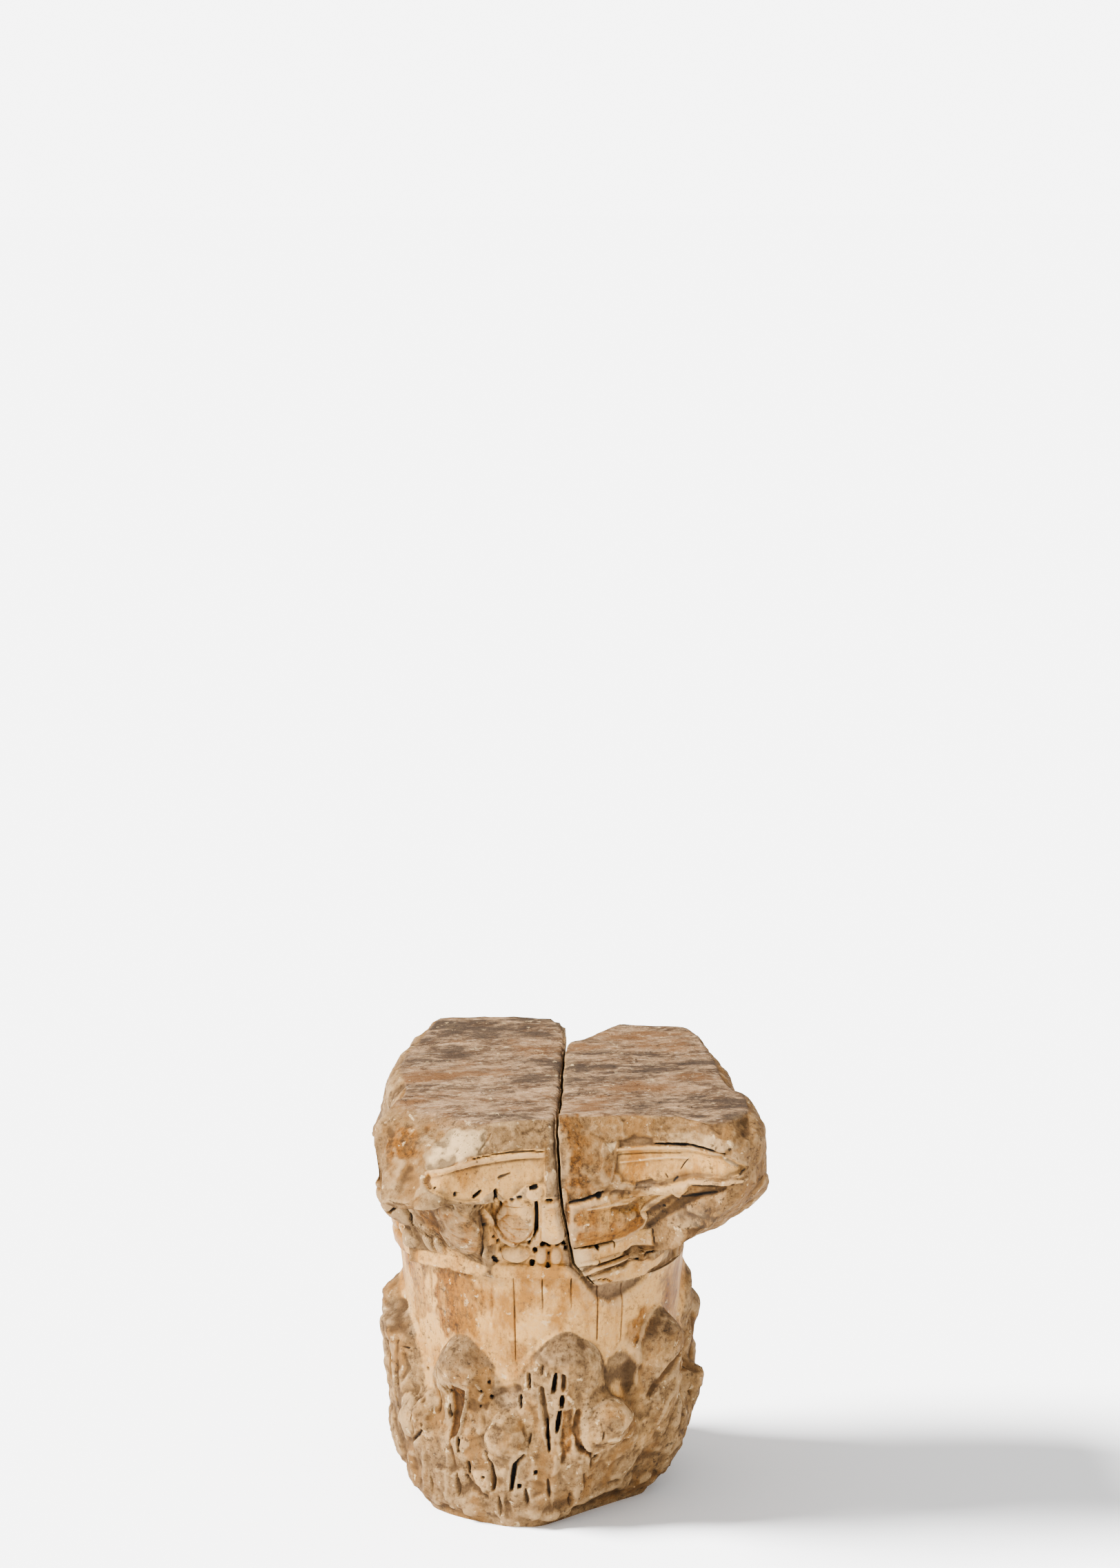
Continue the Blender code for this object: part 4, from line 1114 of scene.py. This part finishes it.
def maths(tree, operation, first, second):
    """One Math node; both values may be sockets or constants."""
    node = tree.nodes.new("ShaderNodeMath")
    node.operation = operation
    for socket, part in zip(node.inputs, (first, second)):
        if isinstance(part, (int, float)):
            socket.default_value = part
        else:
            tree.links.new(part, socket)
    return node.outputs["Value"]


def times(tree, first, second):
    """Product of two values."""
    return maths(tree, "MULTIPLY", first, second)


def plus(tree, first, second):
    """Sum of two values."""
    return maths(tree, "ADD", first, second)


def mask(tree, name):
    """The piece's own mask of that name."""
    node = tree.nodes.new("ShaderNodeAttribute")
    node.attribute_name = name
    return node.outputs["Fac"]


def scaled_place(tree, place, scale):
    """Object coordinates stretched along the axes."""
    node = tree.nodes.new("ShaderNodeMapping")
    node.inputs["Scale"].default_value = scale
    tree.links.new(place, node.inputs["Vector"])
    return node.outputs["Vector"]


def tinted(tree, colour, value, low, high, amount, tint):
    """colour turned towards tint by up to amount, where value passes from low to high."""
    return mixed(tree, ranged(tree, value, low, high, 0.0, amount), colour, tint)


# Colours of the old skin and of the broken stone of each piece, in linear light
BLOCK_SKIN = (0.33, 0.170, 0.045)
BLOCK_BREAK = (0.13, 0.071, 0.026)
FRAGMENT_SKIN = (0.31, 0.160, 0.042)
FRAGMENT_BREAK = (0.13, 0.066, 0.021)

# Colours that both pieces share: broken stone, the old carved skin, the top bed, stains, dirt, and painted
# shade and highlight
BREAK_PALE = (0.18, 0.105, 0.045)
BREAK_DARK = (0.026, 0.013, 0.006)
BREAK_RUST = (0.12, 0.053, 0.012)
SKIN_PALE = (0.33, 0.205, 0.09)
SKIN_DARK = (0.062, 0.030, 0.011)
HONEY = (0.16, 0.058, 0.004)
BED_DARK = (0.070, 0.038, 0.018)
BED_PALE = (0.25, 0.148, 0.074)
BED_LINES = (0.026, 0.016, 0.010)
BED_CHALK = (0.36, 0.25, 0.155)
BED_RUST = (0.11, 0.046, 0.014)
BED_BLACK = (0.030, 0.019, 0.012)
GREY_DARK = (0.055, 0.034, 0.017)
GREY_PALE = (0.15, 0.092, 0.045)
RUST_DARK = (0.022, 0.008, 0.001)
RUST = (0.130, 0.044, 0.003)
FRESH_CHIP = (0.36, 0.235, 0.11)
HOLLOW_DIRT_AND_SHADE = (0.030, 0.014, 0.005)
RIDGE_WEAR_AND_HIGHLIGHT = (0.28, 0.175, 0.078)
WHITE_CHIP = (0.38, 0.26, 0.13)
SOOT_AND_SHADE = (0.004, 0.003, 0.002)
SPECK = (0.011, 0.007, 0.004)
LICHEN_CRUST = (0.022, 0.014, 0.009)


def marble_noises(tree, place):
    """Noise values of the marble: clouds, patches, mottle and grain, and what is drawn out.

    worn is mottle and grain together, and ragged makes the edges of the masks ragged.
    """
    mottle = noise(tree, place, 52.0, 8.0, 0.7)
    grain = noise(tree, place, 210.0, 6.0, 0.75)
    return SimpleNamespace(
        broad=noise(tree, place, 11.0, 5.0),
        patches=noise(tree, scaled_place(tree, place, (1.0, 1.0, 0.5)), 24.0, 6.0, 0.65),
        mottle=mottle,
        grain=grain,
        drawn=noise(tree, scaled_place(tree, place, (11.0, 24.0, 24.0)), 2.4, 9.0, 0.74),
        fine_drawn=noise(tree, scaled_place(tree, place, (70.0, 180.0, 180.0)), 1.6, 6.0, 0.72),
        blots=noise(tree, scaled_place(tree, place, (7.0, 15.0, 15.0)), 1.0, 7.0, 0.7),
        streaks=noise(tree, scaled_place(tree, place, (45.0, 45.0, 9.0)), 1.0, 8.0, 0.72),
        chips=noise(tree, place, 95.0, 4.0),
        specks=noise(tree, place, 150.0, 5.0, 0.75),
        worn=plus(tree, times(tree, mottle, 0.40), times(tree, grain, 0.60)),
        ragged=plus(tree, times(tree, mottle, 1.1), -0.55))


def broken_stone(tree, colour, noises):
    """Broken stone: pale and dark grain and rusty patches over its own colour."""
    colour = tinted(tree, colour, noises.worn, 0.51, 0.60, 0.80, BREAK_PALE)
    colour = tinted(tree, colour, noises.worn, 0.49, 0.40, 0.80, BREAK_DARK)
    return tinted(tree, colour, noises.patches, 0.49, 0.60, 0.75, BREAK_RUST)


def carved_skin(tree, colour, honey, noises):
    """The old smooth surface, with patches of honey brown and dark wear."""
    colour = tinted(tree, colour, noises.worn, 0.51, 0.60, 0.50, SKIN_PALE)
    patches = times(tree, ranged(tree, noises.patches, 0.46, 0.60), honey)
    colour = mixed(tree, patches, colour, HONEY)
    return tinted(tree, colour, noises.worn, 0.48, 0.38, 0.75, SKIN_DARK)


def top_bed(tree, noises):
    """The top bed, streaked along its tool marks, with rusty and black blots."""
    colour = mixed(tree, ranged(tree, noises.drawn, 0.44, 0.58), BED_DARK, BED_PALE)
    colour = tinted(tree, colour, noises.fine_drawn, 0.53, 0.61, 0.55, BED_LINES)
    colour = tinted(tree, colour, noises.fine_drawn, 0.46, 0.38, 0.50, BED_CHALK)
    colour = tinted(tree, colour, noises.blots, 0.52, 0.60, 0.80, BED_RUST)
    return tinted(tree, colour, noises.blots, 0.475, 0.41, 0.85, BED_BLACK)


def stained(tree, colour, noises):
    """Grey breaks, rust in streaks and fresh breaks, each where its own mask says, with some painted shade
    and highlight.
    """
    grey = ranged(tree, plus(tree, mask(tree, "grey"), noises.ragged), 0.15, 0.75)
    grey_colour = mixed(tree, ranged(tree, noises.worn, 0.42, 0.58), GREY_DARK, GREY_PALE)
    colour = mixed(tree, times(tree, grey, 0.80), colour, grey_colour)
    stain = ranged(tree, plus(tree, mask(tree, "stain"), noises.ragged), 0.10, 0.60)
    stain = times(tree, stain, ranged(tree, noises.streaks, 0.42, 0.55, 0.45, 0.97))
    stain_colour = mixed(tree, ranged(tree, noises.worn, 0.42, 0.56), RUST_DARK, RUST)
    colour = mixed(tree, stain, colour, stain_colour)
    fresh = ranged(tree, plus(tree, mask(tree, "fresh"), noises.ragged), 0.20, 0.80)
    return mixed(tree, fresh, colour, FRESH_CHIP)


def worn_edges(tree, colour, hollow, top, noises):
    """Dirt and painted shade in hollows, pale worn ridges with painted highlight, small white chips outside
    hollows.
    """
    deep = plus(tree, hollow, times(tree, noises.ragged, 0.5))
    # painted shade: hollows darkened by how deep they lie below their surroundings, together with dirt
    colour = tinted(tree, colour, deep, 0.53, 0.90, 0.75, HOLLOW_DIRT_AND_SHADE)
    # painted highlight: ridges lightened by how far they stand out, together with paler worn stone
    ridge = ranged(tree, plus(tree, hollow, times(tree, noises.ragged, -0.9)), 0.40, 0.08, 0.0, 0.50)
    ridge = times(tree, ridge, ranged(tree, top, 0.0, 1.0, 1.0, 0.25))
    colour = mixed(tree, ridge, colour, RIDGE_WEAR_AND_HIGHLIGHT)
    chips = times(tree, ranged(tree, noises.chips, 0.625, 0.66), ranged(tree, hollow, 0.60, 0.40))
    return tinted(tree, colour, chips, 0.0, 1.0, 0.75, WHITE_CHIP)


def dirtied(tree, colour, noises):
    """Soot and painted shade in drilled holes, grooves and cracks, dark specks in clouds, and a crust of
    lichen.
    """
    # painted shade: drilled holes and grooves painted near-black, together with soot
    soot_and_shade = plus(tree, mask(tree, "soot_and_shade"), times(tree, noises.ragged, 0.8))
    colour = mixed(tree, ranged(tree, soot_and_shade, 0.18, 0.62), colour, SOOT_AND_SHADE)
    specks = ranged(tree, noises.specks, 0.575, 0.615, 0.0, 0.85)
    spotted = plus(tree, mask(tree, "lichen"), ranged(tree, noises.broad, 0.47, 0.58, 0.2, 0.9))
    colour = mixed(tree, times(tree, specks, ranged(tree, spotted, 0.0, 1.0)), colour, SPECK)
    crust = times(tree, mask(tree, "lichen"), ranged(tree, noises.mottle, 0.44, 0.56, 0.0, 0.80))
    return mixed(tree, crust, colour, LICHEN_CRUST)


def rough_normal(tree, carved, top, noises):
    """Normal of the grain, finer than the mesh; the tool marks are added on the top bed."""
    height = plus(tree, times(tree, noises.grain, 0.40), times(tree, noises.mottle, 1.3))
    height = plus(tree, height, times(tree, times(tree, noises.fine_drawn, top), 0.6))
    bump = tree.nodes.new("ShaderNodeBump")
    bump.inputs["Distance"].default_value = 0.0045
    tree.links.new(ranged(tree, carved, 0.0, 1.0, 0.90, 0.35), bump.inputs["Strength"])
    tree.links.new(height, bump.inputs["Height"])
    return bump.outputs["Normal"]


def marble_skin():
    """Colour, roughness and normal of the weathered marble, shared by both pieces."""
    tree, given, result = node_group(
        "marble_skin",
        [("Carved colour", "Color", (*BLOCK_SKIN, 1.0)), ("Broken colour", "Color", (*BLOCK_BREAK, 1.0)),
         ("Honey", "Float", 0.85)],
        [("Color", "Color", None), ("Roughness", "Float", None), ("Normal", "Vector", None)])
    noises = marble_noises(tree, tree.nodes.new("ShaderNodeTexCoord").outputs["Object"])
    hollow = mask(tree, "hollow")
    top = mask(tree, "top")
    carved = ranged(tree, plus(tree, mask(tree, "carved"), noises.ragged), 0.22, 0.62)

    broken = broken_stone(tree, given.outputs["Broken colour"], noises)
    skin = carved_skin(tree, given.outputs["Carved colour"], given.outputs["Honey"], noises)
    colour = mixed(tree, carved, broken, skin)
    on_bed = ranged(tree, plus(tree, top, noises.ragged), 0.30, 0.90)
    colour = mixed(tree, on_bed, colour, top_bed(tree, noises))
    colour = stained(tree, colour, noises)
    colour = worn_edges(tree, colour, hollow, top, noises)
    tree.links.new(dirtied(tree, colour, noises), result.inputs["Color"])

    duller = ranged(tree, noises.grain, 0.3, 0.7, -0.06, 0.06)
    rough = plus(tree, ranged(tree, carved, 0.0, 1.0, 0.86, 0.62), duller)
    tree.links.new(rough, result.inputs["Roughness"])
    tree.links.new(rough_normal(tree, carved, top, noises), result.inputs["Normal"])
    return tree


def make_marble(name, skin, carved, broken, honey):
    """Weathered marble of one piece: the shared skin with the piece's own two colours."""
    material = bpy.data.materials.new(name)
    material.use_nodes = True
    tree = material.node_tree
    shader = tree.nodes["Principled BSDF"]
    group = tree.nodes.new("ShaderNodeGroup")
    group.node_tree = skin
    group.inputs["Carved colour"].default_value = (*carved, 1.0)
    group.inputs["Broken colour"].default_value = (*broken, 1.0)
    group.inputs["Honey"].default_value = honey
    tree.links.new(group.outputs["Color"], shader.inputs["Base Color"])
    tree.links.new(group.outputs["Roughness"], shader.inputs["Roughness"])
    tree.links.new(group.outputs["Normal"], shader.inputs["Normal"])
    shader.inputs["Specular IOR Level"].default_value = 0.08
    return material


# The floor's extent in x and y, and how strongly the world lights the stone and shows behind it
FLOOR_CORNERS = [(-60, -6, 0), (60, -6, 0), (60, 120, 0), (-60, 120, 0)]
WORLD_LIGHT = 1.3
WORLD_SEEN = 6.8

# Soft lamps on the stone: place, size in metres and power in watts
STONE_LAMPS = {"key": ((-2.4, -0.9, 2.4), 1.2, 640.0), "front": ((0.3, -3.2, 1.7), 2.2, 110.0)}

# The light of the floor, from the left, so that the shadow falls to the right
FLOOR_LIGHT_PLACE = (-2.4, 0.42, 2.15)
FLOOR_LIGHT_STRENGTH = 30.0
FLOOR_LIGHT_SPREAD = 20.0

# The camera: distance from its aim, height of the aim, turn and rise round the capital, its
# own heading and dip. Its lens, for a frame 24 mm high, has a focal length of 5085 pixels of
# the photograph, which is 2274 pixels high
CAMERA_DISTANCE = 4.2
CAMERA_AIM_HEIGHT = 0.24
CAMERA_TURN = -10.0
CAMERA_RISE = 18.0
CAMERA_HEADING = -10.30
CAMERA_DIP = 9.91
FRAME_HEIGHT = 24.0
LENS = FRAME_HEIGHT * 5085.0 / 2274.0


def make_floor():
    """A pale floor, wide enough to fill the frame."""
    mesh = bpy.data.meshes.new("floor")
    mesh.from_pydata(FLOOR_CORNERS, [], [(0, 1, 2, 3)])
    floor = bpy.data.objects.new("floor", mesh)
    bpy.context.scene.collection.objects.link(floor)
    paper = bpy.data.materials.new("pale_floor")
    paper.use_nodes = True
    shader = paper.node_tree.nodes["Principled BSDF"]
    shader.inputs["Base Color"].default_value = (0.93, 0.93, 0.93, 1)
    shader.inputs["Roughness"].default_value = 0.95
    shader.inputs["Specular IOR Level"].default_value = 0.0
    mesh.materials.append(paper)
    return floor


def make_world():
    """A pale world that looks as white to the camera as the lit floor."""
    world = bpy.data.worlds.new("studio")
    world.use_nodes = True
    tree = world.node_tree
    light = tree.nodes["Background"]
    seen = tree.nodes.new("ShaderNodeBackground")
    for node, strength in ((light, WORLD_LIGHT), (seen, WORLD_SEEN)):
        node.inputs["Color"].default_value = (1.0, 1.0, 1.0, 1)
        node.inputs["Strength"].default_value = strength
    either = tree.nodes.new("ShaderNodeMixShader")
    tree.links.new(tree.nodes.new("ShaderNodeLightPath").outputs["Is Camera Ray"], either.inputs[0])
    tree.links.new(light.outputs[0], either.inputs[1])
    tree.links.new(seen.outputs[0], either.inputs[2])
    tree.links.new(either.outputs[0], tree.nodes["World Output"].inputs["Surface"])
    bpy.context.scene.world = world


def lamp_on(name, light, place, receivers):
    """Puts a lamp at a place, aimed at the middle of the capital, lighting only the receivers."""
    lamp = bpy.data.objects.new(name, light)
    lamp.location = place
    aim = Vector((0.0, 0.0, 0.25)) - Vector(place)
    lamp.rotation_euler = aim.to_track_quat("-Z", "Y").to_euler()
    bpy.context.scene.collection.objects.link(lamp)
    lit = bpy.data.collections.new("lit_by_" + name)
    for item in receivers:
        lit.objects.link(item)
    lamp.light_linking.receiver_collection = lit


def make_lights(stones, floor):
    """Soft lamps on the stone, and a broad light from the left whose shadow falls on the floor."""
    for name, (place, size, power) in STONE_LAMPS.items():
        light = bpy.data.lights.new(name, "AREA")
        light.shape = "SQUARE"
        light.size = size
        light.energy = power
        lamp_on(name, light, place, stones)
    light = bpy.data.lights.new("floor_light", "SUN")
    light.energy = FLOOR_LIGHT_STRENGTH
    light.angle = math.radians(FLOOR_LIGHT_SPREAD)
    lamp_on("floor_light", light, FLOOR_LIGHT_PLACE, [floor])


def make_camera():
    """Camera 4.2 m away, 18 degrees above and 10 degrees left of the front, aimed up so that
    the capital stands low in the frame, as in the photograph."""
    data = bpy.data.cameras.new("camera")
    data.sensor_fit = "VERTICAL"
    data.sensor_height = FRAME_HEIGHT
    data.lens = LENS
    camera = bpy.data.objects.new("camera", data)
    turn = math.radians(CAMERA_TURN)
    rise = math.radians(CAMERA_RISE)
    back = Vector((math.sin(turn) * math.cos(rise), -math.cos(turn) * math.cos(rise), math.sin(rise)))
    camera.location = Vector((0.0, 0.0, CAMERA_AIM_HEIGHT)) + CAMERA_DISTANCE * back
    camera.rotation_euler = (math.radians(90.0 - CAMERA_DIP), 0.0, math.radians(CAMERA_HEADING))
    bpy.context.scene.collection.objects.link(camera)
    bpy.context.scene.camera = camera


def main():
    """Carves and parts the two pieces, gives them their marble, and sets up floor and camera."""
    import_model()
    cad_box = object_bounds()
    skin = marble_skin()
    block_marble = make_marble("weathered_marble", skin, BLOCK_SKIN, BLOCK_BREAK, 0.85)
    fragment_marble = make_marble("weathered_marble_fragment", skin, FRAGMENT_SKIN, FRAGMENT_BREAK, 0.95)
    block = parted("block_marble", *carve_block(cad_box),
                   fracture_cutter("block_cutter", (0.0, 0.0)), "DIFFERENCE")
    fragment = parted("fragment_marble", *carve_fragment(cad_box),
                      fracture_cutter("fragment_cutter", (CRACK_WIDTH, SEAT_CLEARANCE)), "INTERSECT")
    for piece, node, slot, marble in [
            (block, "main_block", "weathered_marble", block_marble),
            (fragment, "right_fragment", "weathered_marble_fragment", fragment_marble)]:
        piece.data.materials.clear()
        piece.data.materials.append(marble)
        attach(piece, "root")
        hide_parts(node)
    make_world()
    make_lights([block, fragment], make_floor())
    make_camera()


main()
